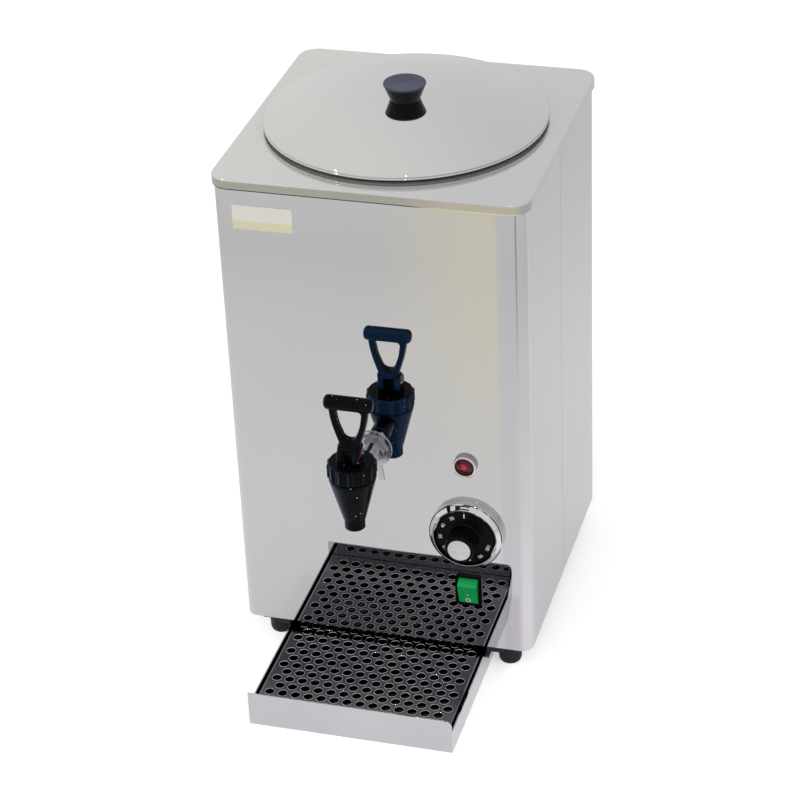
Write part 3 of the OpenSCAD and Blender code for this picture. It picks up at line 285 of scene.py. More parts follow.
def polished_steel(name, metal, tint, patch=5.0, wave=0.0004, haze=(0.03, 0.09), metallic=1.0, **changes):
    """Mirror-polished sheet, whose metal passes into its tint in soft patches, with a wave and a haze."""
    return coated(name, polish_group, {"Metallic": metallic}, Metal=metal, Tint=tint, Patch=patch, Wave=wave,
                  Haze_Low=haze[0], Haze_High=haze[1], **changes)


def finish(material, *names):
    """Gives CAD nodes their material, and hands it back."""
    for name in names:
        for slot in nodes[name].material_slots:
            slot.material = material
    return material


def band(value, middle, half, soft):
    """A band of 1 round a middle value, with soft sides."""
    away = calc("ABSOLUTE", calc("SUBTRACT", value, middle))
    return slope(away, half + soft, half)


casing_low, casing_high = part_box("casing_front")
panel_y, bottom_z, seam_y = casing_low.y, casing_low.z, casing_high.y
# Grey of the sides: painted shade, darker than the front though both are the same polished steel
side_shade_metal = (0.425, 0.422, 0.450)


def seamed(y, colour):
    """Colour with the fine dark seam where the two shells meet."""
    return mix_colour(band(y, seam_y, 0.00035, 0.0003), colour, (0.10, 0.10, 0.12))


def front_painted_reflections(place, colour):
    """Front shell, painted reflections and shade: a little darker above the middle, straw-coloured at the
    upper right and lilac at the lower right, with a greyer strip and a dark line beside the right-hand bend;
    its sides take the darker side grey. The seam is a real dark joint."""
    x, y, z = axes(place)
    ramp = add("ShaderNodeValToRGB", i0=times(z, 2.0))
    ramp.color_ramp.elements[0].color = (1, 1, 1, 1)
    for twice_z, grey in ((0.48, 0.96), (0.66, 0.96), (0.80, 0.90)):
        ramp.color_ramp.elements.new(twice_z).color = (grey, grey, grey, 1)
    shown = mix_colour(1.0, colour, ramp.outputs[0], "MULTIPLY")
    straw = times(slope(x, -0.010, 0.110), slope(x, 0.113, 0.105))
    shown = mix_colour(times(straw, slope(z, 0.16, 0.40)), shown, (0.585, 0.565, 0.475))
    lilac = times(slope(x, 0.0, 0.10), slope(z, 0.20, 0.05))
    shown = mix_colour(lilac, shown, (0.640, 0.615, 0.655))
    strip = times(slope(x, 0.104, 0.109), slope(x, 0.124, 0.121))
    shown = mix_colour(times(strip, 0.50), shown, (0.495, 0.482, 0.515))
    line = times(band(x, 0.1226, 0.0002, 0.0009), slope(z, 0.26, 0.44))
    shown = mix_colour(times(line, 0.60), shown, (0.16, 0.15, 0.17))
    side_shade_mask = slope(y, panel_y + 0.008, panel_y + 0.016)
    return seamed(y, mix_colour(side_shade_mask, shown, side_shade_metal))


def side_painted_shade(place, colour):
    """Rear shell: painted shade, a little darker towards the top, with the seam."""
    y, z = axes(place)[1:]
    return seamed(y, mix_colour(slope(z, 0.22, 0.46), colour, (0.415, 0.413, 0.452)))


def edge_roll(place):
    """Height that dips by 0.2 mm towards the upright edges, where the flat sheet starts its bend."""
    away = calc("ABSOLUTE", axes(place)[0])
    return times(slope(away, 0.110, 0.122), -0.0002)


finish(polished_steel("front_shell", (0.560, 0.556, 0.558), (0.575, 0.571, 0.573), haze=(0.0, 0.03),
                      colour=front_painted_reflections, extra=edge_roll), "casing_front")
finish(polished_steel("rear_shell", side_shade_metal, (0.440, 0.437, 0.462), haze=(0.01, 0.04),
                      colour=side_painted_shade), "casing_rear")


# Top plate: pan of the same polished sheet with a rolled bend and a turned-down skirt, laid over the
# casing and held by small angles inside; its flat top is a little hazier than the walls.
def rounded_loop(half, front, back, radius):
    """Outline of a rounded rectangle in 100 points, anticlockwise from above: corner arcs
    (cx + r cos a, cy + r sin a) of 9 points, joined by straight sides of 16 points at equal steps."""
    centres = np.array([(half - radius, back - radius), (radius - half, back - radius),
                        (radius - half, front + radius), (half - radius, front + radius)])
    turns = np.linspace(0, math.pi / 2, 9) + np.arange(4)[:, None] * math.pi / 2
    arcs = centres[:, None] + radius * np.stack([np.cos(turns), np.sin(turns)], -1)
    ends = arcs[:, -1:]
    sides = ends + (np.roll(arcs[:, :1], -1, axis=0) - ends) * np.linspace(0, 1, 18)[1:-1, None]
    return np.concatenate([arcs, sides], axis=1).reshape(-1, 2)


def at_height(loop, z):
    """Points of a flat loop at a height."""
    return np.column_stack([loop, np.full(len(loop), z)])


def even(piece):
    """Shades a piece with normals weighted by face area, so that flats beside a bend stay flat."""
    piece.modifiers.new("even_normals", "WEIGHTED_NORMAL").keep_sharp = False
    return piece


plate_low, plate_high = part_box("top_plate")
lid_low, lid_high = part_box("lid")
lid_place = (lid_low + lid_high) / 2
sheet, bend_r, corner_r = 0.0012, 0.0020, 0.017
edge_cut, flat_from, lid_overlap = 0.0003, 0.004, 0.0085
roll = np.linspace(0, math.pi / 2, 7)
outer_bend, inner_bend = [
    np.stack([bend_r - r * np.cos(roll), plate_high.z - bend_r + r * np.sin(roll)], -1)
    for r in (bend_r, bend_r - sheet)]
over = np.vstack([[[edge_cut, plate_low.z], [0, plate_low.z + edge_cut]], outer_bend,
                  [[flat_from, plate_high.z]]])
under = np.vstack([[[flat_from, plate_high.z - sheet]], inner_bend[::-1], [[sheet, plate_low.z]]])
outside, inside = [
    [at_height(rounded_loop(plate_high.x - i, plate_low.y + i, plate_high.y - i, corner_r - i), z)
     for i, z in path] for path in (over, under)]
middle, hole_r = np.array(lid_place)[:2], lid_high.x - lid_place.x - lid_overlap
outward = outside[0][:, :2] - middle
hole = middle + hole_r * outward / np.linalg.norm(outward, axis=1, keepdims=True)
rows = outside + [at_height(hole, plate_high.z), at_height(hole, plate_high.z - sheet)] + inside


def plate_painted_reflections(place, colour):
    """Top plate, painted reflections: palest at the front left, greyer towards the right. Its skirt is darker
    and olive in front, with a lowest edge that is black on the left, a painted shadow line, and
    straw-coloured on the right, a painted highlight."""
    x, y, z = axes(place)
    across = calc("SUBTRACT", x, times(y, 0.3))
    shown = mix_colour(slope(across, -0.12, 0.14), colour, (0.570, 0.570, 0.575))
    skirt = slope(z, plate_high.z - 0.0012, plate_high.z - 0.0026)
    front = slope(y, panel_y + 0.002, panel_y - 0.002)
    olive = mix_colour(slope(x, 0.02, 0.08), (0.375, 0.368, 0.312), (0.480, 0.440, 0.360))
    wall = mix_colour(front, (0.395, 0.395, 0.408), olive)
    # The lowest edge: a painted shadow line on the left and a painted highlight on the right
    lip = mix_colour(slope(x, 0.035, 0.060), (0.03, 0.03, 0.03), (0.72, 0.66, 0.40))
    painted_edge_line = times(front, slope(z, plate_low.z + 0.0013, plate_low.z + 0.0007))
    return mix_colour(skirt, shown, mix_colour(painted_edge_line, wall, lip))


top_steel = finish(polished_steel("top_plate_steel", (0.655, 0.658, 0.632), (0.668, 0.670, 0.648), patch=4.0,
                                  haze=(0.04, 0.10), metallic=0.75, colour=plate_painted_reflections), "top_plate")
plate_faces = grid_faces(len(rows), len(hole), wrap_rows=True, wrap_cols=True)
plate = even(new_piece("top_plate_skin", np.vstack(rows), plate_faces, top_steel))
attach(plate, "housing")
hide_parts("top_plate")


# Fittings inside the casing: floor pan, seam strips, brackets and clamps of plain rolled stainless with fine
# lines along the roll, spot-welded or screwed in; the milk vessel is drawn from brighter sheet, and the tap's
# stem is made very dark.
drawn_group, entry = group("rolled_sheet", Place="Vector", Metal="Color", Dark="Color", Rough="Float",
                           Depth="Float")
roll_lines = noise(stretched(entry["Place"], (8, 1600, 1600)), 1.0, 3.0)
clouds = noise(entry["Place"], 22.0, 3.0)
shade = slope(times(roll_lines, clouds), 0.12, 0.40)
close_group(mix_colour(shade, entry["Dark"], entry["Metal"]),
            calc("MULTIPLY_ADD", roll_lines, 0.16, entry["Rough"]), times(roll_lines, entry["Depth"]))


def rolled_steel(name, metal, dark, rough=0.25, depth=0.00001, metallic=1.0):
    """Plain rolled or brushed metal with fine lines along X."""
    return coated(name, drawn_group, {"Metallic": metallic}, Metal=metal, Dark=dark, Rough=rough,
                  Depth=depth)


finish(rolled_steel("satin_steel", (0.52, 0.52, 0.51), (0.42, 0.42, 0.41)), "seam_strips", "base_plate",
       "top_brackets", "heater_clamp", "bulb_clip")
finish(rolled_steel("vessel_steel", (0.74, 0.74, 0.73), (0.66, 0.66, 0.65), 0.32, metallic=0.6),
       "milk_vessel")
finish(rolled_steel("dark_stem_steel", (0.020, 0.020, 0.024), (0.012, 0.012, 0.014), 0.35), "tap_stem")


# Label: small plain film stuck to the upper left of the front panel, cream above and straw-coloured
# below, with a faint paper grain.
label_material, place = new_material("label_film")
label_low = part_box("blank_label")[0]
lower = slope(axes(place)[2], label_low.z + 0.0085, label_low.z + 0.0065)
fibres = noise(place, 900.0, 3.0)
cream = mix_colour(lower, (0.62, 0.60, 0.55), (0.57, 0.55, 0.36))
cream = mix_colour(times(fibres, 0.10), cream, (0.75, 0.73, 0.68))
raised = add("ShaderNodeBump", Strength=0.4, Distance=0.00003, Height=fibres)
film = add("ShaderNodeBsdfPrincipled", Base_Color=cream, Roughness=0.42, Normal=raised.outputs[0])
add("ShaderNodeOutputMaterial", Surface=film.outputs[0])
finish(label_material, "blank_label")


# Milk vessel's dressing: silicone ring pressed under its flange, mineral wool wrapped round its wall,
# and the small moulded, cast and brass parts clipped or screwed beside it.
moulded_group, entry = group("moulded_skin", Place="Vector", Body="Color", Bloom="Color", Grain="Float",
                             Depth="Float", Shine_Low="Float", Shine_High="Float")
bloom = noise(entry["Place"], 60.0, 4.0, 0.6)
close_group(mix_colour(slope(bloom, 0.40, 0.75), entry["Body"], entry["Bloom"]),
            slope(bloom, 0.3, 0.7, entry["Shine Low"], entry["Shine High"], "LINEAR"),
            times(noise(entry["Place"], entry["Grain"], 2.0), entry["Depth"]))


def moulded(name, body, bloom, shine=(0.2, 0.35), grain=1500.0, depth=0.00001, specular=0.5, colour=None,
            **shader):
    """Moulded plastic, rubber or wool with a fine grain, and a faint bloom in soft patches."""
    return coated(name, moulded_group, {"Specular_IOR_Level": specular, **shader}, colour, Body=body,
                  Bloom=bloom, Grain=grain, Depth=depth, Shine_Low=shine[0], Shine_High=shine[1])


finish(moulded("silicone", (0.60, 0.60, 0.56), (0.68, 0.68, 0.64), (0.35, 0.5)), "shank_gasket",
       "panel_spacer", "tap_seat_cup")
finish(moulded("white_plastic", (0.76, 0.75, 0.70), (0.80, 0.79, 0.75), (0.35, 0.5)), "thermal_cutout",
       "thermostat_body", "terminal_block")
finish(moulded("mineral_wool", (0.60, 0.52, 0.30), (0.70, 0.62, 0.40), (0.85, 0.95), 700.0, 0.0008),
       "insulation_sleeve")
black_rubber = moulded("black_rubber", (0.012, 0.012, 0.013), (0.022, 0.022, 0.023), (0.45, 0.65), 900.0,
                       0.00003, specular=0.25)
finish(black_rubber, "rim_gasket")
finish(rolled_steel("cast_aluminium", (0.45, 0.43, 0.40), (0.34, 0.32, 0.30), 0.5, 0.00004), "heater_plate")
finish(rolled_steel("copper_tube", (0.72, 0.36, 0.22), (0.50, 0.24, 0.14), 0.3), "thermostat_bulb")
finish(rolled_steel("plain_brass", (0.70, 0.52, 0.22), (0.55, 0.40, 0.16), 0.3), "switch_terminals",
       "terminal_screws")


# Lid: spun from polished sheet, with a low dome and a turned-down rim that ends in a small rolled
# hem; a skirt welded inside keeps it over the vessel's mouth.
def turned(name, profile, origin, axis, material, sides=96):
    """Turned skin about an axis: point (i, k) = origin + h_i * axis + r_i * (cos a_k * u + sin a_k * v),
    for rows (r, h) in metres. Ends at a radius of 0 are closed with fans, else the skin is a ring."""
    axis = Vector(axis).normalized()
    u, axis = np.array(axis.orthogonal().normalized()), np.array(axis)
    a = full_turn(sides)[:, None]
    rim = np.cos(a) * u + np.sin(a) * np.cross(axis, u)
    closed = profile[0, 0] == 0
    wall = profile[1:-1] if closed else profile
    points = (np.array(origin) + wall[:, 1, None, None] * axis + wall[:, 0, None, None] * rim).reshape(-1, 3)
    faces = grid_faces(len(wall), sides, wrap_rows=not closed, wrap_cols=True).tolist()
    if closed:
        here, last = np.arange(sides), len(points) - sides
        after = np.roll(here, -1)
        faces += np.column_stack([np.full(sides, len(points)), after, here]).tolist()
        faces += np.column_stack([np.full(sides, len(points) + 1), last + here, last + after]).tolist()
        points = np.vstack([points, np.array(origin) + profile[[0, -1], 1:] * axis])
    return even(new_piece(name, points, faces, material))


def fillet(points, reach, steps=4):
    """Profile with every inner corner P cut back along both sides by up to reach, and bridged by
    (1 - t)^2 A + 2 t (1 - t) P + t^2 B."""
    p = np.asarray(points, float)
    here = p[1:-1]
    ends = []
    for other in (p[:-2], p[2:]):
        gap = np.linalg.norm(other - here, axis=1, keepdims=True)
        ends.append(here + (other - here) * np.minimum(reach, 0.45 * gap) / gap)
    t = np.linspace(0, 1, steps + 1)[None, :, None]
    arcs = (1 - t) ** 2 * ends[0][:, None] + 2 * t * (1 - t) * here[:, None] + t ** 2 * ends[1][:, None]
    return np.vstack([p[:1], arcs.reshape(-1, 2), p[-1:]])


# In millimetres from the dome's edge: it rises 11.4 mm between radius edge_r and the knob's seat
lid_r, lid_sheet, seat_r, dome_rise = (lid_high.x - lid_low.x) * 500, 0.8, 13.0, 11.4
edge_r, skirt_in, skirt_out, bend_in, hem_r = lid_r - 3.5, lid_r - 13.8, lid_r - 13, 3, 0.85
drop = (edge_r ** 2 - seat_r ** 2 - dome_rise ** 2) / (2 * dome_rise)
curve_r = math.hypot(edge_r, drop)


def dome(r):
    """Rows (r, h) of the dome: h = sqrt(R^2 - r^2) - drop."""
    return np.stack([r, np.sqrt(curve_r ** 2 - r ** 2) - drop], -1)


inwards = np.array([0, -lid_sheet])
quarter = np.linspace(0, math.pi / 2, 9)
bend_row = np.stack([np.sin(quarter), np.cos(quarter)], -1)
hem = np.linspace(-0.5 * math.pi, 0.42 * math.pi, 9)
lid_path = np.vstack([
    [[0, dome_rise - lid_sheet]],
    dome(np.linspace(seat_r, skirt_in, 20)) + inwards,
    [[skirt_in, -7.7], [lid_r - 13.6, -8], [lid_r - 13.2, -8], [skirt_out, -7.7]],
    dome(np.linspace(skirt_out, edge_r, 4)) + inwards,
    np.array([lid_r - bend_in, -bend_in]) + (bend_in - lid_sheet) * bend_row,
    [[lid_r - 1.0, -4.4]],
    np.stack([lid_r - hem_r + hem_r * np.cos(hem), -4.75 + hem_r * np.sin(hem)], -1),
    [[lid_r - 0.55, -3.75], [lid_r - 0.05, -3.45]],
    np.array([lid_r - bend_in, -bend_in]) + bend_in * bend_row[:, ::-1],
    dome(np.linspace(edge_r, seat_r, 24)),
    [[0, dome_rise]]])


def lid_painted_reflections(place, colour):
    """Lid: painted reflections, palest at the front left and greyer towards the right and the back."""
    x, y = axes(place)[:2]
    across = calc("MULTIPLY_ADD", y, 0.9, x)
    return mix_colour(slope(across, -0.08, 0.12), colour, (0.565, 0.565, 0.575))


lid_steel = finish(polished_steel("lid_steel", (0.665, 0.670, 0.640), (0.680, 0.683, 0.658), patch=3.5,
                                  wave=0.0003, haze=(0.01, 0.05), colour=lid_painted_reflections), "lid")
lid_edge = (lid_place.x, lid_place.y, lid_high.z - dome_rise / 1000)
lid = turned("lid_skin", lid_path / 1000, lid_edge, (0, 0, 1), lid_steel, sides=192)
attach(lid, "lid_assembly")
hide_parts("lid")


# Chromed and zinc-plated small parts: nuts, washers, screws and the tap's tube, screwed together. The
# ring round the dial rises over a cone to a thin lip, and the heating lamp's barrel has a groove.
def panel_axis(name):
    """Where the axis of a CAD node that stands out of the front panel meets it."""
    low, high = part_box(name)
    return Vector(((low.x + high.x) / 2, panel_y, (low.z + high.z) / 2))


dial_place, lamp_place = panel_axis("temperature_dial"), panel_axis("lamp_bezel")
shank_x = panel_axis("tap_shank").x


def from_axis(place, centre):
    """Distance of a place from an axis that runs front to back through a centre."""
    x, y, z = axes(place)
    square = [calc("POWER", calc("SUBTRACT", value, middle), 2.0)
              for value, middle in ((x, centre.x), (z, centre.z))]
    return calc("SQRT", calc("ADD", *square))


def bezel_shade(place, colour):
    """Ring: broken dark arcs 31.5 and 27.8 mm from its axis, where it mirrors the dark dial."""
    away = from_axis(place, dial_place)
    arcs = calc("MAXIMUM", band(away, 0.03150, 0.0003, 0.0003),
                band(away, 0.0278, 0.00015, 0.0003))
    broken = slope(noise(place, 55.0, 1.0), 0.40, 0.48)
    return mix_colour(times(arcs, broken), colour, (0.02, 0.02, 0.025))


def barrel_painted_shade(place, colour):
    """Lamp's barrel: painted shade, dark in its groove and where it meets the panel."""
    y = axes(place)[1]
    dark = calc("MAXIMUM", band(y, panel_y - 0.0018, 0.0003, 0.0002),
                slope(y, panel_y - 0.0006, panel_y))
    return mix_colour(times(dark, 0.8), colour, (0.05, 0.045, 0.05))


def tube_painted_reflections(place, colour):
    """Tube: painted reflections in stripes along it, blue-black on the left and dark red in the middle."""
    across = calc("SUBTRACT", axes(place)[0], shank_x)
    red = band(across, 0.0005, 0.0011, 0.0012)
    left = slope(across, -0.0038, -0.0052)
    shown = mix_colour(red, colour, (0.095, 0.030, 0.032))
    return mix_colour(left, shown, (0.030, 0.034, 0.055))


def plated(name, metal, tint, haze=(0.02, 0.06), patch=60.0, colour=None):
    """Chrome or zinc on a small part: polished metal with fine patches and hardly any wave."""
    return polished_steel(name, metal, tint, patch, 0.00001, haze, colour=colour)


chrome = finish(plated("bright_chrome", (0.56, 0.56, 0.57), (0.63, 0.63, 0.64)), "casing_screws",
                "heater_nut", "lid_knob_screw", "tap_spring", "tap_handle_pin", "dial_spindle", "foot_screws",
                "foot_nuts")
finish(plated("zinc_plate", (0.40, 0.395, 0.415), (0.46, 0.455, 0.475), (0.12, 0.25), 90.0),
       "shank_inner_nut", "tab_washer", "panel_nut", "tap_jam_nut")
finish(plated("tube_chrome", (0.50, 0.49, 0.50), (0.60, 0.59, 0.60), (0.05, 0.10), colour=tube_painted_reflections),
       "tap_shank")
bezel_chrome = finish(plated("bezel_chrome", (0.60, 0.60, 0.61), (0.67, 0.67, 0.68), colour=bezel_shade),
                      "thermostat_bezel")
barrel_chrome = finish(plated("barrel_chrome", (0.54, 0.53, 0.54), (0.60, 0.59, 0.60), colour=barrel_painted_shade),
                       "lamp_bezel")

# Rows in millimetres: radius from the axis, distance out of the panel
outwards = (0, -1, 0)
bezel_path = fillet([(27.2, 10.0), (27.0, 9.6), (27.0, 0), (32.25, 0), (32.25, 5.7), (31.9, 6.1), (31.2, 6.3),
                     (28.1, 10.2), (27.6, 10.6), (27.2, 10.4), (27.2, 10.0)], 0.5)[:-1]
barrel_path = fillet([(6.2, 1.5), (6, 1.2), (6, 0), (10.2, 0), (10.2, 1.5), (9.7, 1.75), (9.7, 2.0),
                      (10.2, 2.25), (10.2, 3.9), (9.6, 4.5), (8.7, 4.5), (8.15, 3.9), (8.1, 1.5), (6.2, 1.5)],
                     0.35)[:-1]
bezel = turned("bezel_skin", bezel_path / 1000, dial_place, outwards, bezel_chrome)
barrel = turned("lamp_barrel_skin", barrel_path / 1000, lamp_place, outwards, barrel_chrome, sides=72)
for piece, node in ((bezel, "thermostat_bezel"), (barrel, "lamp_bezel")):
    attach(piece, "housing")
    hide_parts(node)


# Knob: black plastic cone with a shallow dished top, turned from bar, and held to the lid by a
# screw and a washer from below.
knob_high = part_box("lid_knob")[1]


def knob_painted_reflection(place, colour):
    """Knob: its dished top is painted paler and bluish, a painted reflection of the bright backdrop behind
    it; its sides are black.
    """
    top = slope(axes(place)[2], knob_high.z - 0.0022, knob_high.z - 0.0008)
    return mix_colour(top, colour, (0.046, 0.048, 0.092))


finish(moulded("knob_plastic", (0.003, 0.003, 0.005), (0.006, 0.006, 0.009), (0.12, 0.22), 1800.0, 0.000004,
               specular=0.14, colour=knob_painted_reflection), "lid_knob")


# Tap: moulded in black plastic. Its body screws onto the tube, a ribbed cap screws onto the body, and a
# looped handle with a round grip straddles the cap with two cheeks, on a pin through the valve's stem.
def tap_painted_casts(place, colour):
    """Painted reflections by the way the surface faces: a blue cast on the left and on the back, which faces
    the bright panel, and a dark red one on the right; and white specks under 1 mm across in some cells of a
    Voronoi pattern."""
    normal = add("ShaderNodeNewGeometry", tree=place.id_data).outputs["Normal"]
    sideways, backwards = axes(normal)[:2]
    # Blue and dark red painted reflections, by the way the surface faces
    for facing, start, end, cast in ((sideways, -0.10, -0.85, (0.007, 0.024, 0.060)),
                                     (sideways, 0.80, 1.00, (0.014, 0.002, 0.005)),
                                     (backwards, 0.05, 0.70, (0.018, 0.060, 0.150))):
        colour = mix_colour(slope(facing, start, end), colour, cast)
    cells = add("ShaderNodeTexVoronoi", Vector=place, Scale=170.0).outputs
    chance = add("ShaderNodeSeparateColor", i0=cells["Color"]).outputs[0]
    near = slope(cells["Distance"], 0.085, 0.045)
    speck = times(calc("GREATER_THAN", chance, 0.55), near)
    return mix_colour(speck, colour, (0.85, 0.85, 0.88))


def spot(x, y, z):
    """Place given in millimetres from the foot of the casing's front face."""
    return Vector((x / 1000, panel_y + y / 1000, bottom_z + z / 1000))


def crossing(outline, directions, centre):
    """Distance from a centre to a closed outline in each direction d: on the edge from P to P + E,
    the farthest t with centre + t d = P + s E and 0 <= s <= 1."""
    start = np.asarray(outline, float) - centre
    edge = np.roll(start, -1, axis=0) - start
    d = directions[:, None, :]
    across = d[..., 0] * edge[:, 1] - d[..., 1] * edge[:, 0]
    safe = np.where(np.abs(across) < 1e-12, 1e-12, across)
    t = (start[:, 0] * edge[:, 1] - start[:, 1] * edge[:, 0]) / safe
    s = (start[:, 0] * d[..., 1] - start[:, 1] * d[..., 0]) / safe
    return np.where((s >= -1e-9) & (s <= 1 + 1e-9) & (t > 0), t, 0).max(1)


def joined(shells):
    """Points and faces of several closed shells, each given as points and faces."""
    points, faces, used = [], [], 0
    for shell_points, shell_faces in shells:
        points.append(np.asarray(shell_points, float).reshape(-1, 3))
        faces += [[int(corner) + used for corner in face] for face in shell_faces]
        used += len(points[-1])
    return np.vstack(points), faces


def squared(angle, power):
    """Rounded square: sgn(cos v) |cos v|^p and sgn(sin v) |sin v|^p."""
    c, s = np.cos(angle), np.sin(angle)
    return np.sign(c) * np.abs(c) ** power, np.sign(s) * np.abs(s) ** power


def stacked(rows):
    """Closed stack of rounded rectangles: row (z, cx, cy, a, b) is the loop (cx + a C, cy + b S, z), for
    the rounded square (C, S) of power 0.55."""
    c, s = squared(full_turn(32), 0.55)
    loops = [at_height(np.column_stack([cx + a * c, cy + b * s]), z) for z, cx, cy, a, b in rows]
    last = 32 * (len(rows) - 1)
    caps = [list(range(32))[::-1], list(range(last, last + 32))]
    return np.vstack(loops), grid_faces(len(rows), 32, wrap_cols=True).tolist() + caps


tap_plastic = finish(moulded("tap_plastic", (0.002, 0.002, 0.003), (0.004, 0.004, 0.006), (0.08, 0.18),
                             1600.0, 0.000005, specular=0.045, colour=tap_painted_casts),
                     "tap_body", "tap_bonnet", "tap_handle")
tap_x, tap_y, pin_z, cap_z, grip_z = -4.5, -57.5, 221.5, 200.3, 47.5
pin = np.array(spot(tap_x, tap_y, pin_z))

# Handle, in millimetres from its pin. The loop's outer edge widens by a quarter sine towards the grip,
# its hole is the hull of round corners (x, z, radius), and both are met in 120 directions from the heart
neck_half, widening, neck_z, loop_h, arm_half, arm_power = 9.2, 7.6, 11.5, 36, 4.5, 0.62
u = np.linspace(0, 1, 12)
flank = np.stack([neck_half + widening * np.sin(u * math.pi / 2), neck_z + loop_h * u], -1)
outer = np.vstack([[[9.4, 9.5]], flank, (flank * (-1, 1))[::-1], [[-9.4, 9.5]]])
heart = np.array([0.0, 29.5])
facing = full_turn(120)
look = np.stack([np.cos(facing), np.sin(facing)], -1)
far = crossing(outer, look, heart)
circle = np.stack([np.cos(full_turn(24)), np.sin(full_turn(24))], -1)
corners = np.vstack([
    (sign * x, z) + r * circle for sign in (-1, 1)
    for x, z, r in ((0, 20.5, 6.0), (5.5, 28.2, 3.5), (7.3, 38.5, 3.5))]) - heart
support = (corners @ look.T).max(0)
towards = np.cos(facing[:, None] - facing[None, :])
near = np.where(towards > 0.02, support[None, :] / np.maximum(towards, 0.02), np.inf).min(1)
c, s = squared(full_turn(20), arm_power)
reach = (far + near)[:, None] / 2 + (far - near)[:, None] / 2 * c
loop_x, loop_z = [heart[i] + reach * look[:, i, None] for i in (0, 1)]
loop = np.stack([loop_x, arm_half * s + 0 * reach, loop_z], -1)

# Its cheeks, in rows (z, middle y, half depth), stand on a round foot that rolls on the cap
foot_r, foot_y, foot_half, cheek_x, cheek_half = 6.6, -3, 2.9, 6.95, 3.2
foot_rows = [(-foot_r * math.cos(v), foot_y, foot_half + foot_r * math.sin(v))
             for v in np.radians([8, 20, 35, 50, 65, 80, 95, 110, 125])]
cheek_rows = foot_rows + [(6.0, -1.9, 6.6), (8.0, -0.8, 5.4), (9.0, -0.4, 4.9)]
cheeks = [stacked([(z, sign * cheek_x, cy, cheek_half, b) for z, cy, b in cheek_rows]) for sign in (-1, 1)]
waist = stacked([(z, 0, cy, a, b) for z, cy, a, b in [
    (5.9, -1.8, 9.6, 6.4), (6.6, -1.5, 10.0, 6.2), (8.0, -0.8, 9.7, 5.4), (9.5, -0.3, 9.3, 4.8),
    (11.5, 0, 9.2, 4.5), (13.5, 0, 9.0, 4.5)]])
loop_faces = grid_faces(*loop.shape[:2], wrap_rows=True, wrap_cols=True)
handle_points, handle_faces = joined([(loop, loop_faces), *cheeks, waist])
handle = even(new_piece("tap_handle_skin", handle_points / 1000 + pin, handle_faces, tap_plastic))
grip_path = fillet([(0, -20.8), (3.6, -20.8), (6.3, -18.6), (6.3, 18.6), (3.6, 20.8), (0, 20.8)], 2.6, 6)
grip_place = pin + (0, 0, grip_z / 1000)
grip = turned("tap_grip_skin", grip_path / 1000, grip_place, (1, 0, 0), tap_plastic, sides=48)
for piece in (handle, grip):
    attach(piece, "tap_lever")
    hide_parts("tap_handle")

# Cap, in millimetres from its foot: 14 round ribs of radius rib_r whose axes stand at rib_at swell out of
# the wall at core, r = rib_at cos v + sqrt(rib_r^2 - (rib_at sin v)^2), and fade near its top and foot
ribs, rib_r, rib_at, core, cap_h = 14, 2.6, 18.4, 19.4, 14.2
turn = full_turn(ribs * 16)
v = (turn + math.pi / ribs) % (2 * math.pi / ribs) - math.pi / ribs
room = rib_r ** 2 - (rib_at * np.sin(v)) ** 2
bulge = np.where(room > 0, rib_at * np.cos(v) + np.sqrt(np.maximum(room, 0)), core)
bulge = np.maximum(bulge - core, 0)
r, h = fillet([(18.0, 0), (core, 0), (core, 2.6), (core, 11.6), (core, cap_h), (4.6, cap_h), (4.6, 10.8),
               (17.6, 10.8), (17.6, 0), (18.0, 0)], 1.1, 5)[:-1].T
fade = np.clip((h - 0.6) / 1.2, 0, 1) * np.clip((cap_h - 0.6 - h) / 1.2, 0, 1) * (r > core - 0.5)
fade = fade * fade * (3 - 2 * fade)
ribbed_r = r[:, None] + fade[:, None] * bulge
ribbed = np.stack([ribbed_r * np.cos(turn), ribbed_r * np.sin(turn), h[:, None] + 0 * ribbed_r], -1)
bonnet = even(new_piece("tap_bonnet_skin", ribbed / 1000 + np.array(spot(tap_x, tap_y, cap_z)),
                        grid_faces(*ribbed_r.shape, wrap_rows=True, wrap_cols=True), tap_plastic))
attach(bonnet, "housing")
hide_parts("tap_bonnet")

# The valve's spring is a real coil here, closed over its first and last 0.8 of a turn
spring_low, spring_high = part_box("tap_spring")
wire_r, coils, end_turn, steps = 0.0007, 6, 0.8, 24
wound = np.linspace(0, 1, coils * steps + 1) * coils
climb = np.clip((wound - end_turn) / (coils - 2 * end_turn), 0, 1)
lift = np.clip(wound / end_turn, 0, 1) + np.clip((wound - coils) / end_turn + 1, 0, 1) - 1
coil_z = spring_low.z + wire_r + climb * (spring_high.z - spring_low.z - 2 * wire_r) + wire_r * lift
section, spin = full_turn(8), 2 * math.pi * wound[:, None]
coil_r = (spring_high.x - spring_low.x) / 2 - wire_r + wire_r * np.cos(section)
tap_place = spot(tap_x, tap_y, 0)
spring_points = np.stack([tap_place.x + coil_r * np.cos(spin), tap_place.y + coil_r * np.sin(spin),
                          coil_z[:, None] + wire_r * np.sin(section)], -1)
last = len(wound) * 8
spring_faces = grid_faces(len(wound), 8, wrap_cols=True, flip=True).tolist()
spring_faces += [list(range(8)), list(range(last - 8, last))[::-1]]
spring = new_piece("tap_spring_coil", spring_points, spring_faces, chrome)
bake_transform(spring)
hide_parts("tap_spring")


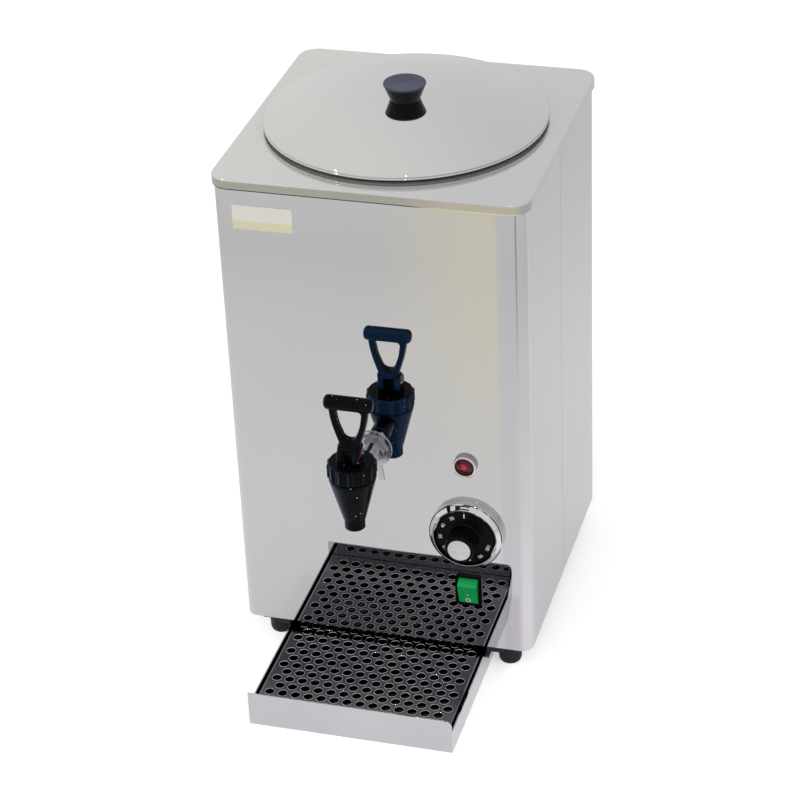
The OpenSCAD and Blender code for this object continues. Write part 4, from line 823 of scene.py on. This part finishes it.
# Temperature dial: moulded black skirt with a white tick and figures, fluted grip and a spun silver cap,
# pushed onto its spindle; two black lines and a red dot printed on the ring show where to read it.
finish(moulded("dial_plastic", (0.002, 0.002, 0.003), (0.005, 0.005, 0.006), (0.25, 0.4), 1500.0, 0.000008,
               specular=0.06),
       "temperature_dial", "lamp_body", "switch_frame", "cable_gland", "gland_locknut")
finish(rolled_steel("spun_aluminium", (0.66, 0.66, 0.67), (0.50, 0.50, 0.51), 0.22), "dial_cap")
white_print = moulded("white_print", (0.70, 0.70, 0.68), (0.78, 0.78, 0.76), (0.4, 0.5))
black_print = moulded("black_print", (0.006, 0.006, 0.007), (0.012, 0.012, 0.013), (0.3, 0.4))
red_print = moulded("red_print", (0.55, 0.02, 0.02), (0.62, 0.04, 0.04), (0.3, 0.4))
print_lift = 0.00006


def lettering(text, size):
    """Points and faces of a short text, flat and centred on its middle."""
    curve = bpy.data.curves.new("lettering", "FONT")
    curve.body = text
    curve.size = size
    curve.offset = 0.01 * size
    curve.resolution_u = 3
    holder = in_scene("lettering", curve)
    mesh = bpy.data.meshes.new_from_object(holder.evaluated_get(bpy.context.evaluated_depsgraph_get()))
    points = np.array([corner.co[:2] for corner in mesh.vertices])
    faces = [list(face.vertices) for face in mesh.polygons]
    bpy.data.objects.remove(holder)
    bpy.data.curves.remove(curve)
    bpy.data.meshes.remove(mesh)
    return points - (points.min(0) + points.max(0)) / 2, faces


def printed(name, marks, material, body):
    """Print laid just off a surface: marks holds (points and faces, place, right, up)."""
    shells = []
    for (points, faces), place, across, up in marks:
        across, up = np.array(across), np.array(up)
        flat = np.array(place) + points[:, :1] * across + points[:, 1:] * up
        shells.append((flat + np.cross(across, up) * print_lift, faces))
    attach(new_piece(name, *joined(shells), material, smooth=False), body)


# The skirt's face stands face_out from the panel at radius face_r, and falls away by face_slope outwards
face_slope, face_r, face_out = 0.4 / 10.6, 0.0144, 0.0096
tick_r, figures_r, figure_h, figures_from, figures_apart = 0.0222, 0.0213, 0.0044, -30, 31.5
tick = np.array([[-1, -1], [1, -1], [1, 1], [-1, 1]]) * (0.0005, 0.0021), [[0, 1, 2, 3]]
figures = [(figures_from - figures_apart * i, lettering(str(30 + 10 * i), figure_h), figures_r)
           for i in range(8)]
marks = []
for degrees, shape, r in [(0, tick, tick_r)] + figures:
    c, s = math.cos(math.radians(degrees)), math.sin(math.radians(degrees))
    out_by = face_out - face_slope * (r - face_r)
    marks.append((shape, dial_place + Vector((r * s, -out_by, r * c)), (c, 0, -s),
                  Vector((s, face_slope, c)).normalized()))
printed("dial_figures", marks, white_print, "dial")

# The lines lie on the ring's cone, the dot on its lip
cone_r, cone_out, cone_slope, line_w = 0.0281, 0.0102, 3.9 / 3.1, 0.0008
sweep = np.radians(np.linspace(-9, 9, 9))
for name, start_r in (("index_upper", 0.03025), ("index_lower", 0.02862)):
    r = np.array([start_r, start_r + line_w])[:, None]
    lifted = cone_out + (cone_r - r) * cone_slope + 0.00015
    strip = np.stack([r * np.sin(sweep), -lifted + 0 * sweep, r * np.cos(sweep)], -1) + np.array(dial_place)
    index_line = new_piece(name, strip, grid_faces(2, len(sweep)), black_print, smooth=False)
    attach(index_line, "housing")
around = np.stack([np.cos(full_turn(32)), np.sin(full_turn(32))], -1)
dot = 0.00055 * around, [list(range(32))]
dot_place = dial_place + Vector((0, -0.0107, 0.0276))
printed("index_dot", [(dot, dot_place, (1, 0, 0), (0, 0, 1))], red_print, "housing")


# Heating lamp: moulded red lens pushed into a bright barrel, bright in the middle and dark at its edge
# as if lit from behind.
def lens_painted_glow(place, colour):
    """Lens: a painted glow, bright red within about 1 mm of the axis and unevenly darker towards the edge."""
    facets = add("ShaderNodeTexVoronoi", Vector=place, Scale=420.0).outputs["Distance"]
    away = calc("MULTIPLY_ADD", facets, 0.0030, from_axis(place, lamp_place))
    return mix_colour(slope(away, 0.0012, 0.0058), colour, (0.055, 0.001, 0.004))


finish(moulded("red_lens", (0.60, 0.020, 0.050), (0.70, 0.045, 0.075), (0.06, 0.12), 400.0, 0.00001,
               specular=0.25, colour=lens_painted_glow, IOR=1.49, Coat_Weight=0.15), "lamp_lens")


# Rocker switch: moulded green rocker in a black frame that snaps into the panel, with a white ring
# printed on its off side and a dot above it.
finish(moulded("green_plastic", (0.006, 0.30, 0.075), (0.010, 0.34, 0.09), (0.15, 0.25), 900.0, 0.000008,
               specular=0.25), "switch_rocker")
rocker_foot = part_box("switch_rocker")[0].z
rocker_x = panel_axis("switch_rocker").x
bpy.context.view_layer.update()


def facing_spot(name, x, z, lift=0.0002):
    """Place just off the front surface of a CAD node at x and z, with its right and up."""
    body = nodes[name]
    inward = body.matrix_world.inverted()
    found = body.ray_cast(inward @ Vector((x, panel_y - 0.1, z)), inward.to_3x3() @ Vector((0, 1, 0)))
    place, normal = body.matrix_world @ found[1], (body.matrix_world.to_3x3() @ found[2]).normalized()
    up = (Vector((0, 0, 1)) - normal * normal.z).normalized()
    return place + normal * lift, up.cross(normal), up


ring_outer, ring_inner = 0.0023 * around, 0.0016 * around
ring = np.vstack([ring_outer, ring_inner]), grid_faces(2, 32, wrap_cols=True).tolist()
for name, mark, height in (("rocker_ring", ring, 0.0045), ("rocker_dot", dot, 0.0112)):
    mark_place = facing_spot("switch_rocker", rocker_x, rocker_foot + height)
    printed(name, [(mark, *mark_place)], white_print, "rocker")


# Wires: copper in blue sleeves, crimped or screwed from the terminal block to the switch, thermostat,
# heater and lamp.
finish(moulded("wire_sleeve", (0.02, 0.06, 0.42), (0.03, 0.08, 0.50), (0.35, 0.5)), "wiring")


# Drip tray: folded from polished sheet, with a perforated pan laid in it whose dark slate colour is a painted
# reflection, and which has a bright lip pressed round every hole; it slides between angle strips fixed under
# the casing, painted near black as shade.
tray_low, tray_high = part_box("drip_tray")
grille_low, grille_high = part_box("drip_grille")


def tray_painted_shade(place, colour):
    """Tray: painted shade, its basin inside the walls dark and brownish under the pan."""
    x, y, z = axes(place)
    across = slope(calc("ABSOLUTE", x), tray_high.x - 0.0004, tray_high.x - 0.0007)
    within = times(across, slope(y, tray_low.y + 0.0008, tray_low.y + 0.0010))
    above = slope(z, tray_low.z + 0.0006, tray_low.z + 0.0009)
    below = slope(z, tray_low.z + 0.0130, tray_low.z + 0.0070)
    return mix_colour(times(within, times(above, below)), colour, (0.020, 0.014, 0.013))


def grille_painted_reflections(place, colour):
    """Pan: a painted reflection of its dark surroundings in slate blue, with paler grey painted reflections
    along its front and painted highlights along its side edges.
    """
    x, y = axes(place)[:2]
    front = slope(y, grille_low.y + 0.060, grille_low.y)
    edge = slope(calc("ABSOLUTE", x), grille_high.x - 0.0016, grille_high.x - 0.0004)
    pale = calc("MAXIMUM", times(front, 0.45), edge)
    return mix_colour(pale, colour, (0.300, 0.300, 0.320))


finish(polished_steel("tray_steel", (0.570, 0.560, 0.590), (0.590, 0.580, 0.605), patch=9.0, wave=0.0002,
                      colour=tray_painted_shade), "drip_tray")
# The pan's dark slate colour is a painted reflection of its dark surroundings
finish(polished_steel("grille_painted_dark_steel", (0.058, 0.064, 0.092), (0.078, 0.080, 0.100), patch=14.0, wave=0.0001,
                      haze=(0.12, 0.25), colour=grille_painted_reflections), "drip_grille")
# The angle strips are painted near black, as painted shade under the casing
finish(rolled_steel("guide_painted_dark_steel", (0.05, 0.05, 0.06), (0.03, 0.03, 0.04), 0.35), "tray_guide_left",
       "tray_guide_right")
lip_steel = plated("lip_steel", (0.62, 0.59, 0.60), (0.72, 0.70, 0.70), (0.10, 0.20), 40.0)

# The holes stand in staggered rows, margin inside the pan's edge; a lip's rows are (radius, height)
pitch, margin = 0.0115, 0.014
row_step, pan_depth = pitch * math.sqrt(3) / 2, grille_high.y - grille_low.y
columns = math.floor((grille_high.x * 2 - margin - pitch / 2) / pitch)
lines = math.floor((pan_depth - margin) / row_step)
line, column = np.meshgrid(np.arange(lines + 1), np.arange(columns + 1), indexing="ij")
hole_x = -(columns + 0.5) * pitch / 2 + (column + (line + 1) % 2 / 2) * pitch
hole_y = grille_low.y + (pan_depth - lines * row_step) / 2 + line * row_step
holes = np.stack([hole_x.ravel(), hole_y.ravel(), 0 * hole_x.ravel()], -1)
lip = np.array([(4.52, 0.01), (4.34, 0.22), (4.16, 0.08), (4.16, -1.40), (4.30, -1.40)]) / 1000
turn = full_turn(16)
lip_x, lip_y = lip[:, :1] * np.cos(turn), lip[:, :1] * np.sin(turn)
one = np.stack([lip_x, lip_y, grille_high.z + lip[:, 1:] + 0 * turn], -1).reshape(-1, 3)
lip_points = (one[None] + holes[:, None]).reshape(-1, 3)
quads = grid_faces(len(lip), len(turn), wrap_rows=True, wrap_cols=True, flip=True)
lip_faces = (quads[None] + len(one) * np.arange(len(holes))[:, None, None]).reshape(-1, 4)
lips = new_piece("grille_lips", lip_points, lip_faces, lip_steel)
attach(lips, "grille")


# Feet: round moulded black rubber buffers, each held by a screw in its recess and a nut above the
# floor pan.
finish(black_rubber, "foot_front_left", "foot_front_right", "foot_rear_left", "foot_rear_right")
